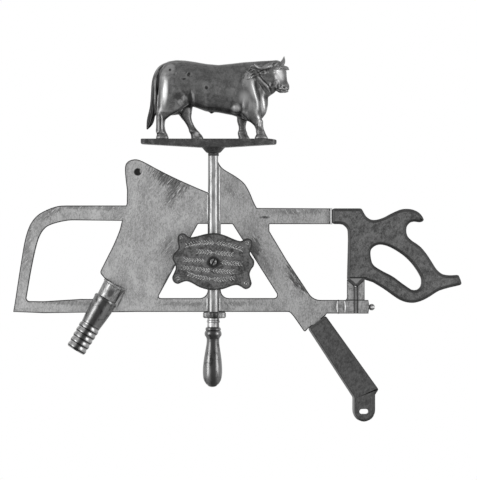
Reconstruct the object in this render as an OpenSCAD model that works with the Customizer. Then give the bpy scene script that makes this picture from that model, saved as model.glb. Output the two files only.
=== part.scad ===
// Butcher's trade sign: cleaver, bow saw, knife and sharpening steel joined in one plane, with
// a bull on a platform at the head of the steel and a plaque turning on a screw at the centre.
// X runs right, Y runs back and Z runs up. The origin is on the axis of the hanging hole in the
// cleaver's corner, in the middle of the plates' thickness.

/* [Plates] */
// Thickness of the two flat plates
plate_t = 8; // [6:0.5:10]
// Diameter of the hanging hole in the cleaver's corner
hole_d = 9.2; // [7:0.2:11]
// Metal left behind the hanging hole, which is blind
hole_floor = 2; // [1:0.5:2.5]
// Clearance round a plate where a slot takes it
slot_clear = 0.15; // [0.05:0.05:0.3]
// Top edge of the saw's upper bar, left of the cleaver
left_bar_z = -53.6; // [-58:0.2:-50]
// Height of the saw's upper bar
upper_bar_h = 25.2; // [22:0.2:28]
// Bottom edge of the saw's lower bar
lower_bar_z = -223.8; // [-228:0.2:-219]
// Height of the saw's lower bar
lower_bar_h = 22; // [19:0.2:24]
// Step down of the bars on the right side of the sign
right_drop = 3; // [1:0.2:5]
// Radius of the two fillets beside the steel in the middle windows
fillet_r = 13; // [8:0.5:15]
// Distance from the hanging hole to the bow's outermost point
bow_reach = 199.2; // [192:0.4:204]
// Length of the saw's upper bar from the steel's axis to its handle
bar_reach = 186.5; // [184:0.5:194]

/* [Steel] */
// Distance from the hanging hole to the axis of the steel
rod_x = 121; // [118:0.5:124]
// Diameter of the rod at its head
rod_head_d = 17; // [14:0.2:18.6]
// Diameter of the rod at the guard
rod_foot_d = 18.8; // [17:0.2:20]
// Metal left in the rod between its two grooves
rod_core = 9; // [8:0.5:11]
// Diameter of the spigot that enters the platform's boss
spigot_d = 9; // [7:0.2:10]
// Lean of the handle below the guard, in degrees
handle_lean = 0.9; // [0:0.1:2]
// Width over the guard's lobes
guard_w = 36.8; // [32:0.2:42]
// Distance from the steel's axis to the middle of the guard's lobes
guard_off = 1.6; // [0:0.2:2.4]
// Height of the guard
guard_h = 10; // [7:0.2:12]
// Height of the ferrule
ferrule_h = 14.2; // [11:0.2:18]
// Diameter of the ferrule
ferrule_d = 19.2; // [16:0.2:21]
// Length of the turned handle without its button
handle_l = 92; // [80:1:105]
// Largest diameter of the turned handle
handle_d = 31; // [26:0.5:33]
// Diameter of the tang inside the handle
tang_d = 7; // [5:0.2:8]
// Length of the tang inside the handle
tang_l = 62; // [40:1:70]
// Diameter of the button at the handle's end
button_d = 16; // [8:0.5:18]

/* [Platform] */
// Height of the platform's top above the origin
platform_z = 52.8; // [51:0.2:58]
// Length of the platform
platform_l = 216.8; // [200:0.4:230]
// Depth of the platform
platform_w = 58; // [50:1:68]
// Thickness of the platform at its ends
platform_end_t = 8.4; // [6:0.2:10]
// Thickness of the platform at the boss
platform_mid_t = 13.2; // [11:0.2:15]
// Distance from the platform's middle to the steel's axis
platform_off = 7.5; // [5:0.5:10]
// Radius of the boss where it meets the platform
boss_top_r = 22; // [16:0.5:24]
// Radius of the boss at its lower end
boss_low_r = 11; // [9:0.2:12]
// Height of the boss below the platform
boss_h = 9.2; // [8:0.2:12]
// Height of the nut under the boss
nut_h = 4.6; // [3:0.2:6]
// Width across the nut's corners
nut_d = 17.4; // [15:0.2:19]
// Diameter of the small plug in the platform's front edge
plug_d = 4.6; // [3:0.2:5]
// Diameter of the screws that hold the hooves
hoof_screw_d = 4; // [3:0.2:5]

/* [Bull] */
// Height of the plane where a hind leg is joined on, above the platform
hind_joint = 34; // [32:0.5:36]
// Height of the plane where a foreleg is joined on, above the platform
fore_joint = 24; // [22:0.5:26]
// Distance from the bull's middle plane to the middle of a leg
leg_y = 14; // [12:0.5:16]
// Half of the belly's width
belly_r = 28; // [24:0.5:32]
// Turn of the head towards the viewer, in degrees
head_turn = 40; // [34:1:44]

/* [Plaque] */
// Width of the plaque over its sides
plaque_w = 130; // [115:1:140]
// Height of the plaque at its middle
plaque_h = 92; // [84:1:100]
// Thickness of the plaque
plaque_t = 5; // [3.5:0.5:7]
// Gap from the steel's surface to the back of the plaque
plaque_gap = 6; // [4:0.5:9]
// Clockwise turn of the plaque at rest, in degrees
plaque_tilt = 4.4; // [0:0.2:8]
// Height of the plaque's centre screw above the origin
plaque_z = -144; // [-148:0.5:-140]
// Diameter of the plaque's centre screw
plaque_screw_d = 5; // [4:0.2:6]
// Radial running clearance of the plaque on its screw
pivot_clear = 0.05; // [0.02:0.01:0.09]
// Gap on each side of the plaque along its screw
pivot_end_gap = 0.3; // [0.2:0.05:0.5]

/* [Cleaver grip] */
// Lean of the grip from upright, in degrees
grip_lean = 31; // [28:0.5:33]
// Length from the ferrule's rim to the end of the grip
grip_reach = 122; // [105:1:126]
// Radius of the ferrule at its rim
collar_r = 19.4; // [18:0.2:20]
// Distance from the rim to the grip's flared head
collar_l = 26; // [22:0.5:30]
// Radius of the grip's flared head
grip_head_r = 20; // [17:0.2:21]
// Radius of the grip before its ribs
grip_r = 17; // [13:0.2:18]
// Number of ribs at the grip's end
rib_count = 5; // [3:1:6]
// Length of one rib along the grip
rib_pitch = 9; // [7:0.2:10]
// Depth of the grooves between the ribs
rib_depth = 1.5; // [1:0.1:3]
// Width of the cleaver's tang
cleaver_tang_w = 14; // [10:0.5:18]

/* [Knife handle] */
// Thickness of the knife's handle
knife_handle_t = 22; // [18:0.5:26]
// Bevel along the knife handle's edges
knife_bevel = 3; // [2:0.5:4]
// Length of the hanging eye in the handle's tab
eye_l = 14.4; // [12:0.2:18]
// Width of the hanging eye
eye_w = 8.6; // [6:0.2:10]
// Radius of the tab round the eye
tab_r = 18.1; // [16:0.2:20]
// Distance to the right from the top of the handle's joint to the middle of its tab
knife_run = 61; // [58:0.5:64]
// Distance down from the top of the handle's joint to the middle of its tab
knife_drop = 151.4; // [146:0.4:156]

/* [Saw handle] */
// Thickness of the saw's handle
saw_handle_t = 24; // [20:0.5:28]
// Bevel along the saw handle's edges
saw_bevel = 3.5; // [2:0.5:4.5]
// Length of the bright band at the bar's entry
band_l = 3.2; // [2:0.2:5]
// How far the band stands proud of the handle's thickness
band_proud = 0.6; // [0:0.2:1.5]

/* [Blade clamp] */
// Thickness of the post and the clamp
clamp_t = 16; // [13:0.5:19]
// Width of the post
post_w = 28; // [24:0.5:30]
// Width of the groove down the post and clamp
groove_w = 5.6; // [4:0.2:7]
// Depth of the groove
groove_depth = 1.5; // [0.8:0.1:2.5]
// Diameter of the tension screw
tension_d = 6; // [5:0.2:7]
// Radial running clearance of the tension screw
tension_clear = 0.05; // [0.02:0.01:0.09]
// Radius of the tension screw's round head
knob_r = 5.2; // [4:0.2:6]

/* [Hidden] */
$fn = 64;

// Small overlap that lets a cut run past a face
eps = 1;
// Seat clearance of a fixed peg in its hole
seat = 0.1;
// Inner edge of each plate in the steel's grooves, from the steel's axis
groove_x = rod_core / 2;
boss_z = platform_z - platform_mid_t - boss_h;
nut_z = boss_z - nut_h;
guard_z = lower_bar_z;
right_bar_z = left_bar_z - right_drop - 1.6;
lower_bar_top = lower_bar_z + lower_bar_h;
right_lower_z = lower_bar_z - right_drop + 0.4;
right_lower_top = right_lower_z + lower_bar_h - 0.4;
plaque_back = rod_y(plaque_z) + plaque_gap;

// Radius of the steel at height z
function rod_y(z) = let(t = (nut_z - z) / (nut_z - guard_z))
    rod_head_d / 2 + t * (rod_foot_d - rod_head_d) / 2;

// Outlines and curves

function unit(v) = v / norm(v);

// Point b rounded to radius r between its neighbours a and c
function rounded(a, b, c, r, n) =
    r <= 0 ? [b] :
    let(
        u = unit(a - b), w = unit(c - b), half = acos(u * w) / 2,
        centre = b + unit(u + w) * r / sin(half),
        from = b + u * r / tan(half) - centre, to = b + w * r / tan(half) - centre,
        a0 = atan2(from.y, from.x), turn = atan2(to.y, to.x) - a0,
        sweep = turn > 180 ? turn - 360 : turn < -180 ? turn + 360 : turn
    )
    [for (i = [0:n]) centre + r * [cos(a0 + sweep * i / n), sin(a0 + sweep * i / n)]];

// Outline through corners [x, z, radius]
function outline(corners, n = 6) = let(m = len(corners), xy = [for (c = corners) [c.x, c.y]])
    [for (i = [0:m - 1]) each
        rounded(xy[(i + m - 1) % m], xy[i], xy[(i + 1) % m], corners[i].z, n)];

function spline_at(a, b, c, d, t) =
    0.5 * (2 * b + (c - a) * t + (2 * a - 5 * b + 4 * c - d) * t * t
        + (3 * b - a - 3 * c + d) * t * t * t);

// Smooth open curve through the points, n steps between each two
function curve(p, n = 4) = let(m = len(p)) concat(
    [for (i = [0:m - 2], k = [0:n - 1])
        spline_at(p[max(i - 1, 0)], p[i], p[i + 1], p[min(i + 2, m - 1)], k / n)],
    [p[m - 1]]);

// Smooth closed curve through the points
function loop(p, n = 4) = let(m = len(p))
    [for (i = [0:m - 1], k = [0:n - 1])
        spline_at(p[(i + m - 1) % m], p[i], p[(i + 1) % m], p[(i + 2) % m], k / n)];

// The points as sharp corners of an outline
function sharp(p) = [for (q = p) [q.x, q.y, 0]];

// The points moved by [x, z]
function moved(p, by) = [for (q = p) q + by];

// Outline in the X and Z plane as a slab of thickness t in the middle of Y
module slab(t) {
    rotate([90, 0, 0])
        linear_extrude(height = t, center = true)
            children();
}

// The same slab with bevelled edges of size b
module bevelled_slab(t, b) {
    rotate([90, 0, 0])
        minkowski() {
            linear_extrude(height = t - 2 * b, center = true)
                offset(delta = -b)
                    children();
            union() {
                cylinder(r1 = b, r2 = 0, h = b, $fn = 8);
                mirror([0, 0, 1])
                    cylinder(r1 = b, r2 = 0, h = b, $fn = 8);
            }
        }
}

// Closed skin over rings of points, each ring with the same count
module skin(rings) {
    n = len(rings[0]);
    m = len(rings);
    polyhedron(
        points = [for (r = rings) each r],
        faces = concat(
            [[for (k = [0:n - 1]) k]],
            [for (j = [0:m - 2], k = [0:n - 1]) let(q = (k + 1) % n)
                each [[j * n + k, (j + 1) * n + k, (j + 1) * n + q],
                    [j * n + k, (j + 1) * n + q, j * n + q]]],
            [[for (k = [n - 1:-1:0]) (m - 1) * n + k]]
        )
    );
}

// Level ellipse of points about p with half sizes a along X and b along Y
function level_ring(p, a, b, n = 16) =
    [for (k = [0:n - 1]) p + [a * cos(-360 * k / n), b * sin(-360 * k / n), 0]];

// Round tube along the points p with radii r, no stretch of it along the direction across
module horn_tube(p, r, across, sides = 12) {
    m = len(p);
    skin([for (i = [0:m - 1]) let(
        along = unit(p[min(i + 1, m - 1)] - p[max(i - 1, 0)]),
        side = unit(cross(along, across)), up = cross(along, side))
        [for (k = [0:sides - 1])
            p[i] + r[i] * (side * cos(360 * k / sides) + up * sin(360 * k / sides))]]);
}

// Cleaver and the left of the saw

blade_spine = [
    [-17.3, -28.8], [-20.6, 4], [-16.4, 16], [-4.5, 20.3], [8.3, 16.8],
    [32.3, 4], [59.5, -9.6], [91.5, -24], [rod_x - groove_x, -34.5]
];
heel_back = [-57.3, -153.6];
heel_tip = [-60.8, -161];
window_low_x = 31.5;
window_high_x = 96.3;
tang_reach = grip_reach - 12;

// The bow's outer and inner edge, measured from its outermost point
bow_left = [
    [84.3, left_bar_z], [71.2, left_bar_z - 1], [55.2, -60], [39.2, -69], [27.2, -84],
    [19.2, -107], [13.7, -137], [7.7, -175], [2.7, -208], [0, lower_bar_z]
];
bow_inside = [
    [106.7, left_bar_z - upper_bar_h + 1.4], [87.2, left_bar_z - upper_bar_h + 1],
    [65.2, -82.6], [51.2, -89.6], [41.7, -104], [35.2, -126], [28.2, -160], [21.7, -198]
];
rim_at = [-36.6, -180.2];

// Point s along the grip's axis from the rim's centre and w to its right
function on_axis(s, w = 0) =
    rim_at + s * [-sin(grip_lean), -cos(grip_lean)] + w * [cos(grip_lean), -sin(grip_lean)];

// Upper and lower bar with the bow that joins them at the left
module bow_outline() {
    difference() {
        polygon(outline(concat(
            [[rod_x - groove_x, left_bar_z, 0]],
            sharp(curve(moved(bow_left, [-bow_reach, 0]))),
            [[49.2 - bow_reach, lower_bar_z - 2, 60], [0, lower_bar_z, 0],
                [rod_x - groove_x, lower_bar_z, 0]]
        )));
        polygon(outline(concat(
            [[window_low_x, left_bar_z - upper_bar_h, 0]],
            sharp(curve(moved(bow_inside, [-bow_reach, 0]))),
            [[20.2 - bow_reach, lower_bar_top - 4.7, 5],
                [49.2 - bow_reach, lower_bar_top - 5, 40],
                [106.7 - bow_reach, lower_bar_top - 1.4, 0],
                [window_low_x, lower_bar_top - 1.4, 0]]
        )));
    }
}

module blade_outline() {
    back = [-26.5, left_bar_z - upper_bar_h - 4];
    polygon(outline(concat(
        sharp(curve(blade_spine)),
        [[rod_x - groove_x, lower_bar_z, 0], [on_axis(50).x, lower_bar_z, 0]],
        sharp([on_axis(0), on_axis(-seat, -collar_r)]),
        [[heel_tip.x, heel_tip.y, 6]],
        sharp(curve([heel_back, [-50.9, -140.8], [-39, -117], [-29.8, -95], back])),
        [[-17.5, -50, 0]]
    )));
}

// Tang along the grip's axis, with clearance for its slot
module cleaver_tang(clear = 0) {
    w = cleaver_tang_w / 2 + clear;
    polygon([on_axis(-2, -w), on_axis(-2, w), on_axis(tang_reach + clear, w),
        on_axis(tang_reach + clear, -w)]);
}

// Window left of the steel, between the cleaver's edge and the two bars
module left_window() {
    edge = rod_x - rod_y(plaque_z);
    polygon(outline([
        [window_high_x, left_bar_z - upper_bar_h - 4.2, 2.5],
        [edge, left_bar_z - upper_bar_h - 4.2, 1],
        [edge, lower_bar_top, fillet_r],
        [window_low_x, lower_bar_top, 3]
    ]));
}

module cleaver_plate() {
    color("silver")
        difference() {
            union() {
                slab(plate_t)
                    bow_outline();
                slab(plate_t)
                    blade_outline();
                slab(plate_t)
                    cleaver_tang();
            }
            slab(plate_t + 2 * eps)
                left_window();
            rotate([90, 0, 0])
                translate([0, 0, hole_floor - plate_t / 2])
                    cylinder(d = hole_d, h = plate_t);
        }
}

// Shape that turns about the grip's axis, with the rim's centre at the origin
module on_grip() {
    translate([rim_at.x, 0, rim_at.y])
        rotate([0, grip_lean, 0])
            mirror([0, 0, 1])
                children();
}

// Slot right of the tang, where the blade passes through the ferrule
module blade_slot() {
    left = -cleaver_tang_w / 2 - slot_clear;
    slab(plate_t + 2 * slot_clear)
        polygon([on_axis(-eps, left), on_axis(-eps, 2 * collar_r),
            on_axis(collar_l + eps, 2 * collar_r), on_axis(collar_l + eps, left)]);
}

// Slot across the grip, open at its head, where the lower bar passes through
module bar_slot() {
    w = 4 * collar_r;
    slab(plate_t + 2 * slot_clear)
        translate([rim_at.x - w, lower_bar_z - 1.6 - slot_clear])
            square([2 * w, w]);
}

module cleaver_ferrule() {
    rim_h = 2.4;
    color("gainsboro")
        difference() {
            on_grip()
                rotate_extrude()
                    polygon([
                        [0, 0], [collar_r, 0], [collar_r, rim_h], [collar_r - 1.2, rim_h + 0.8],
                        [collar_r - 1.4, rim_h + 1], [collar_r - 3, collar_l], [0, collar_l]
                    ]);
            blade_slot();
        }
}

rib_start = grip_reach - rib_count * rib_pitch;
waist_l = rib_start - collar_l;
grip_profile = concat(
    [[0, collar_l], [grip_head_r - 2.4, collar_l]],
    curve([
        [grip_head_r - 0.8, collar_l + 0.9], [grip_head_r, collar_l + 3.4],
        [grip_head_r - 0.8, collar_l + 7], [grip_r + 1.8, collar_l + 0.33 * waist_l],
        [grip_r + 0.6, collar_l + 0.62 * waist_l], [grip_r - rib_depth, rib_start]
    ]),
    [for (i = [0:rib_count - 1], k = [1:6])
        [grip_r - rib_depth + rib_depth * sin(180 * k / 6) - 0.2 * i,
            rib_start + rib_pitch * (i + k / 6)]],
    [[0, grip_reach]]
);

module cleaver_grip() {
    color("dimgray")
        difference() {
            on_grip()
                rotate_extrude()
                    polygon(grip_profile);
            bar_slot();
            slab(plate_t + 2 * slot_clear)
                cleaver_tang(slot_clear);
        }
}

// Knife and the right of the saw, measured from the steel's axis

knife_belly = [
    [groove_x, nut_z - 1.4], [8.9, 13.6], [16.1, 4.8], [34.5, -6.4], [49, -17.8],
    [57.8, -32.2], [64.2, -47.4], [69.4, right_bar_z + 0.6]
];
bar_tongue = 30;
window_foot_x = 159.8;
clamp_x = bar_reach + band_l + 6.3;
// Depth of the collar's round end, and where the lower bar's full height stops inside it
collar_round = 3.4;
shoulder_x = clamp_x + collar_round + 0.8;
joint_top = [179.4, right_lower_z - 3.2];
joint_low = joint_top - [28.4, 21];

module knife_outline() {
    under = right_bar_z - upper_bar_h;
    tongue_z = [right_bar_z - 3, under + 3];
    polygon(outline(concat(
        sharp(curve(knife_belly)),
        [[bar_reach, right_bar_z, 0], [bar_reach, tongue_z[0], 0],
            [bar_reach + bar_tongue, tongue_z[0], 2], [bar_reach + bar_tongue, tongue_z[1], 2],
            [bar_reach, tongue_z[1], 0], [bar_reach, under, 0],
            [89.4, under, 1.2], [89.5, under - 11.2, 3], [117.2, -140.8, 60],
            [window_foot_x, right_lower_top, 22],
            [shoulder_x, right_lower_top, 0], [shoulder_x, right_lower_top - 3, 0],
            [clamp_x + 26, right_lower_top - 3, 2], [clamp_x + 26, right_lower_z + 3, 2],
            [shoulder_x, right_lower_z + 3, 0], [shoulder_x, right_lower_z, 0],
            [181, right_lower_z, 1.5], [joint_top.x, joint_top.y, 0],
            [joint_low.x, joint_low.y, 0], [joint_low.x - 5, joint_low.y - 5.9, 2.5],
            [128.5, joint_low.y + 19, 12],
            [122, lower_bar_z, 8], [groove_x, lower_bar_z, 0]]
    )));
}

strip_w = 2.6;
knife_tang_w = 18;
knife_tang_l = 88;
knife_tilt = 35;

// Tongue of the knife inside its handle
module knife_tang(clear = 0) {
    mid = (joint_top + joint_low) / 2;
    translate(mid)
        rotate(knife_tilt)
            translate([-knife_tang_w / 2 - clear, -knife_tang_l - clear])
                square([knife_tang_w + 2 * clear, knife_tang_l + 6 + clear]);
}

module right_window() {
    edge = rod_y(plaque_z) + strip_w;
    polygon(outline([
        [edge, left_bar_z - upper_bar_h - 4.6, 1],
        [30.5, left_bar_z - upper_bar_h - 4.6, 2.5],
        [106, lower_bar_top, 5],
        [edge, lower_bar_top, fillet_r]
    ]));
}

module knife_plate() {
    color("silver")
        translate([rod_x, 0, 0])
            difference() {
                union() {
                    slab(plate_t)
                        knife_outline();
                    slab(plate_t)
                        knife_tang();
                }
                slab(plate_t + 2 * eps)
                    right_window();
            }
}

tab_at = joint_top + [knife_run, -knife_drop];

module knife_handle_outline() {
    along = unit(joint_top - joint_low);
    away = seat * [along.y, -along.x];
    polygon(outline(concat(
        [concat(joint_low + away, 1), [tab_at.x - tab_r, tab_at.y + 21, 6]],
        [for (k = [0:12]) [tab_at.x - tab_r * cos(180 * k / 12),
            tab_at.y - tab_r * sin(180 * k / 12), 0]],
        [[tab_at.x + tab_r, tab_at.y + 25, 4], [tab_at.x + 23.8, tab_at.y + 33.4, 3],
            concat(joint_top + away, 1)]
    )));
}

module knife_handle() {
    slot = (eye_l - eye_w) / 2;
    color("dimgray")
        translate([rod_x, 0, 0])
            difference() {
                bevelled_slab(knife_handle_t, knife_bevel)
                    knife_handle_outline();
                slab(plate_t + 2 * slot_clear)
                    knife_tang(slot_clear);
                slab(knife_handle_t + 2 * eps)
                    translate(tab_at + [0, -2]) {
                        square([2 * slot, eye_w], center = true);
                        for (side = [-1, 1])
                            translate([side * slot, 0])
                                circle(d = eye_w);
                    }
            }
}

// Saw handle, band, post and clamp. The handle is measured from the top of its bar's entry

handle_x = bar_reach + band_l;
handle_at = [handle_x, right_bar_z];
horn_curve = [
    [50.3, -5.8], [54.9, -13.2], [62.3, -17.8], [70.7, -18.2], [83.3, -14.1], [95.3, -7.8],
    [108.8, -2], [120.3, -0.8], [131.3, -2.6], [139.9, -7.8], [145.7, -15.4], [146.1, -20.4],
    [140.3, -22.4]
];
throat_curve = [
    [131.3, -21.2], [124.3, -23.3], [119.8, -28.8], [118.6, -36.8], [121.3, -45.3],
    [127.3, -51.4], [134.5, -56.2], [142.5, -62.7], [151.3, -73.3], [160, -86.6],
    [167.3, -97.8], [176.3, -104.8], [188.3, -107], [202.2, -106.2]
];
heel_curve = [
    [207.8, -122], [198, -124.4], [186, -127.2], [169.6, -132.6], [153.6, -142.6], [141.3, -148.6],
    [128, -151.1], [113.3, -148.8], [100.8, -141.8], [83.3, -129.3], [65.6, -118.6]
];
grip_hole_curve = [
    [61.3, -72.8], [64.3, -63.3], [74.8, -58.2], [86.3, -59.8], [100.3, -66.2],
    [115.3, -76.3], [128.3, -89.3], [138.9, -105.3], [142.7, -116.8], [139.3, -127.6],
    [128.8, -130.4], [113.3, -120.8], [96.3, -108.3], [78.3, -98.8], [65.3, -89.3]
];
post_x = handle_x + 24;
handle_foot_z = right_bar_z - 114.2;
notch_depth = 12;
post_top = [
    [post_x, handle_foot_z], [post_x + post_w / 2, handle_foot_z - notch_depth],
    [post_x + post_w, handle_foot_z]
];

module saw_handle_outline() {
    front = post_x - handle_x;
    difference() {
        polygon(concat(
            [for (q = [[0, 0], [47, 0]]) q + handle_at],
            moved(concat(curve(horn_curve), curve(throat_curve), [[205.4, -113.8]],
                curve(heel_curve)), handle_at),
            [post_top[2], post_top[1], post_top[0]],
            moved(curve([[front + 0.3, -98.8], [front + 1.2, -66.8], [front + 1.4, -43.8],
                [front, -33.3], [front - 6, -26.8], [front - 13, -upper_bar_h]]), handle_at),
            [handle_at - [0, upper_bar_h]]
        ));
        polygon(loop(moved(grip_hole_curve, handle_at)));
    }
}

module saw_handle() {
    clear = slot_clear;
    color("dimgray")
        translate([rod_x, 0, 0])
            difference() {
                bevelled_slab(saw_handle_t, saw_bevel)
                    saw_handle_outline();
                slab(plate_t + 2 * clear)
                    translate([handle_x - eps, right_bar_z - upper_bar_h + 3 - clear])
                        square([bar_tongue - band_l + eps + clear, upper_bar_h - 6 + 2 * clear]);
            }
}

module saw_band() {
    color("white")
        translate([rod_x, 0, 0])
            difference() {
                slab(saw_handle_t - 2 * saw_bevel + 2 * band_proud)
                    translate([bar_reach, right_bar_z - upper_bar_h - 0.4])
                        square([band_l, upper_bar_h + 0.8]);
                slab(plate_t + 2 * slot_clear)
                    translate([bar_reach - eps, right_bar_z - upper_bar_h + 3 - slot_clear])
                        square([band_l + 2 * eps, upper_bar_h - 6 + 2 * slot_clear]);
            }
}

module saw_post() {
    color("silver")
        translate([rod_x, 0, 0])
            difference() {
                slab(clamp_t)
                    polygon(concat(post_top, [
                        [post_x + post_w, right_lower_top], [post_x - 2.2, right_lower_top],
                        [post_x, right_lower_top + 3]
                    ]));
                groove_cut(handle_foot_z, right_lower_top);
            }
}

// Groove on both faces from height z1 down to z0
module groove_cut(z1, z0) {
    for (side = [-1, 1])
        translate([post_x + post_w / 2 - groove_w / 2, side * clamp_t / 2, z0 - eps])
            translate([0, -groove_depth, 0])
                cube([groove_w, 2 * groove_depth, z1 - z0 + 2 * eps]);
}

collar_x = clamp_x + 0.4;
block_x = clamp_x + 12.9;
block_end = post_x + post_w + 5.9;
tension_z = right_lower_z + lower_bar_h / 2 - 0.8;

module clamp_collar() {
    low = right_lower_z;
    high = right_lower_top;
    belly = [for (k = [0:8]) let(t = k / 8)
        [collar_x + collar_round * (1 - sin(180 * t)), low + t * (high - low)]];
    color("gainsboro")
        translate([rod_x, 0, 0])
            difference() {
                slab(clamp_t)
                    polygon(concat(belly, [[block_x, high], [block_x, low]]));
                slab(plate_t + 2 * slot_clear)
                    translate([clamp_x - eps, low + 3 - slot_clear])
                        square([block_x - clamp_x + 2 * eps, high - low - 6 + 2 * slot_clear]);
                slab(plate_t + 2 * slot_clear)
                    translate([clamp_x - eps, low - eps])
                        square([shoulder_x + slot_clear - clamp_x + eps, high - low + 2 * eps]);
            }
}

module blade_clamp() {
    low = right_lower_z;
    high = right_lower_top;
    color("silver")
        translate([rod_x, 0, 0])
            difference() {
                slab(clamp_t)
                    polygon([
                        [block_x, low], [block_x, high], [block_end, high],
                        [block_end + 1.8, (low + high) / 2], [block_end, low]
                    ]);
                slab(plate_t + 2 * slot_clear)
                    translate([block_x - eps, low + 3 - slot_clear])
                        square([clamp_x + 26 - block_x + slot_clear + eps,
                            high - low - 6 + 2 * slot_clear]);
                groove_cut(high, low);
                translate([clamp_x + 24, 0, tension_z])
                    rotate([0, 90, 0])
                        cylinder(r = tension_d / 2 + tension_clear, h = 40);
            }
}

module tension_screw() {
    face = block_end + 2.1;
    color("gainsboro")
        translate([rod_x, 0, tension_z]) {
            difference() {
                union() {
                    translate([clamp_x + 28, 0, 0])
                        rotate([0, 90, 0])
                            cylinder(d = tension_d, h = face - clamp_x - 26);
                    translate([face + knob_r - 1.8, 0, 0])
                        difference() {
                            sphere(r = knob_r);
                            translate([-knob_r - 3.4, -knob_r, -knob_r])
                                cube([5, 2 * knob_r, 2 * knob_r]);
                        }
                }
                translate([face + 1.6, -knob_r - eps, -0.6])
                    cube([2 * knob_r, 2 * knob_r + 2 * eps, 1.2]);
            }
        }
}

// Steel

module steel_rod() {
    groove_t = plate_t + 2 * slot_clear;
    color("gainsboro")
        difference() {
            union() {
                translate([rod_x, 0, guard_z])
                    cylinder(r1 = rod_y(guard_z), r2 = rod_y(nut_z), h = nut_z - guard_z);
                translate([rod_x, 0, nut_z - eps])
                    cylinder(d = spigot_d, h = platform_z - 4 - nut_z + eps);
                below_guard()
                    translate([0, 0, -guard_h - ferrule_h - tang_l])
                        cylinder(d = tang_d, h = guard_h + ferrule_h + tang_l + 0.4);
            }
            translate([rod_x - rod_foot_d, -groove_t / 2, guard_z - 5])
                cube([rod_foot_d - groove_x + slot_clear, groove_t, blade_spine[8].y - guard_z + 7.5]);
            translate([rod_x + groove_x - slot_clear, -groove_t / 2, guard_z - 5])
                cube([rod_foot_d, groove_t, nut_z + 4.6 - guard_z]);
            translate([rod_x, -rod_foot_d, plaque_z])
                rotate([-90, 0, 0])
                    cylinder(d = plaque_screw_d + 2 * seat, h = rod_foot_d + 4);
        }
}

// Frame of what hangs from the guard, with its top at the origin
module below_guard() {
    translate([rod_x, 0, guard_z])
        rotate([0, handle_lean, 0])
            children();
}

module steel_guard() {
    lobe_r = 7;
    color("silver")
        difference() {
            translate([rod_x + guard_off, 0, guard_z - guard_h])
                union() {
                    cylinder(r = guard_w / 2 - lobe_r, h = guard_h - 0.01);
                    for (a = [0:90:270])
                        rotate([0, 0, a])
                            translate([guard_w / 2 - lobe_r, 0, 0])
                                rotate_extrude()
                                    lobe_profile(lobe_r, guard_h - 0.01);
                }
            below_guard()
                translate([0, 0, -2 * guard_h])
                    cylinder(d = tang_d + 2 * seat, h = 3 * guard_h);
        }
}

// Half section of a lobe with rounded edges
module lobe_profile(r, h) {
    e = min(3, h / 3);
    polygon(concat([[0, 0]],
        [for (k = [0:5]) [r - e + e * sin(90 * k / 5), e - e * cos(90 * k / 5)]],
        [for (k = [0:5]) [r - e + e * cos(90 * k / 5), h - e + e * sin(90 * k / 5)]],
        [[0, h]]));
}

module steel_ferrule() {
    r = ferrule_d / 2;
    color("gainsboro")
        below_guard()
            translate([0, 0, -guard_h - ferrule_h])
                difference() {
                    rotate_extrude()
                        polygon([
                            [0, 0], [r + 0.2, 0], [r - 0.2, ferrule_h * 0.45],
                            [r - 0.2, ferrule_h * 0.48], [r + 0.8, ferrule_h * 0.55],
                            [r + 0.8, ferrule_h * 0.68], [r, ferrule_h * 0.76],
                            [r, ferrule_h - 0.4], [0, ferrule_h - 0.4]
                        ]);
                    translate([0, 0, -eps])
                        cylinder(d = tang_d + 2 * seat, h = ferrule_h + 2 * eps);
                }
}

handle_r = handle_d / 2;
handle_profile = concat([[0, 0]], curve([
    [handle_r * 0.62, 0], [handle_r * 0.82, -4.6], [handle_r * 0.91, -9.6],
    [handle_r * 0.8, -14.6], [handle_r * 0.65, -19.4], [handle_r * 0.68, -28.8],
    [handle_r * 0.77, -handle_l * 0.4], [handle_r * 0.91, -handle_l * 0.57],
    [handle_r, -handle_l * 0.75], [handle_r * 0.98, -handle_l * 0.85],
    [handle_r * 0.91, -handle_l * 0.915], [handle_r * 0.77, -handle_l * 0.965],
    [handle_r * 0.6, -handle_l]
]), [[0, -handle_l]]);

module steel_handle() {
    color("dimgray")
        below_guard()
            translate([0, 0, -guard_h - ferrule_h])
                difference() {
                    rotate_extrude()
                        polygon(handle_profile);
                    translate([0, 0, -tang_l - seat])
                        cylinder(d = tang_d + 2 * seat, h = tang_l + seat + eps);
                }
}

module steel_button() {
    r = button_d / 2;
    color("gray")
        below_guard()
            translate([0, 0, -guard_h - ferrule_h - handle_l])
                rotate_extrude()
                    polygon(concat([[0, 0], [r, 0]],
                        [for (k = [1:5]) [r * cos(90 * k / 6), -4 * sin(90 * k / 6)]],
                        [[0, -4]]));
}

module boss_nut() {
    color("dimgray")
        translate([rod_x, 0, nut_z])
            difference() {
                cylinder(d = nut_d, h = nut_h, $fn = 6);
                translate([0, 0, -eps])
                    cylinder(d = spigot_d + 2 * seat, h = nut_h + 2 * eps);
            }
}

// Platform

platform_left = rod_x - platform_off - platform_l / 2;
// Flare of the boss: share of the way out from its lower end, share of its height
boss_flare = [[0.86, 0.98], [0.72, 0.93], [0.56, 0.78], [0.4, 0.56], [0.2, 0.28], [0, 0.06]];

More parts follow.
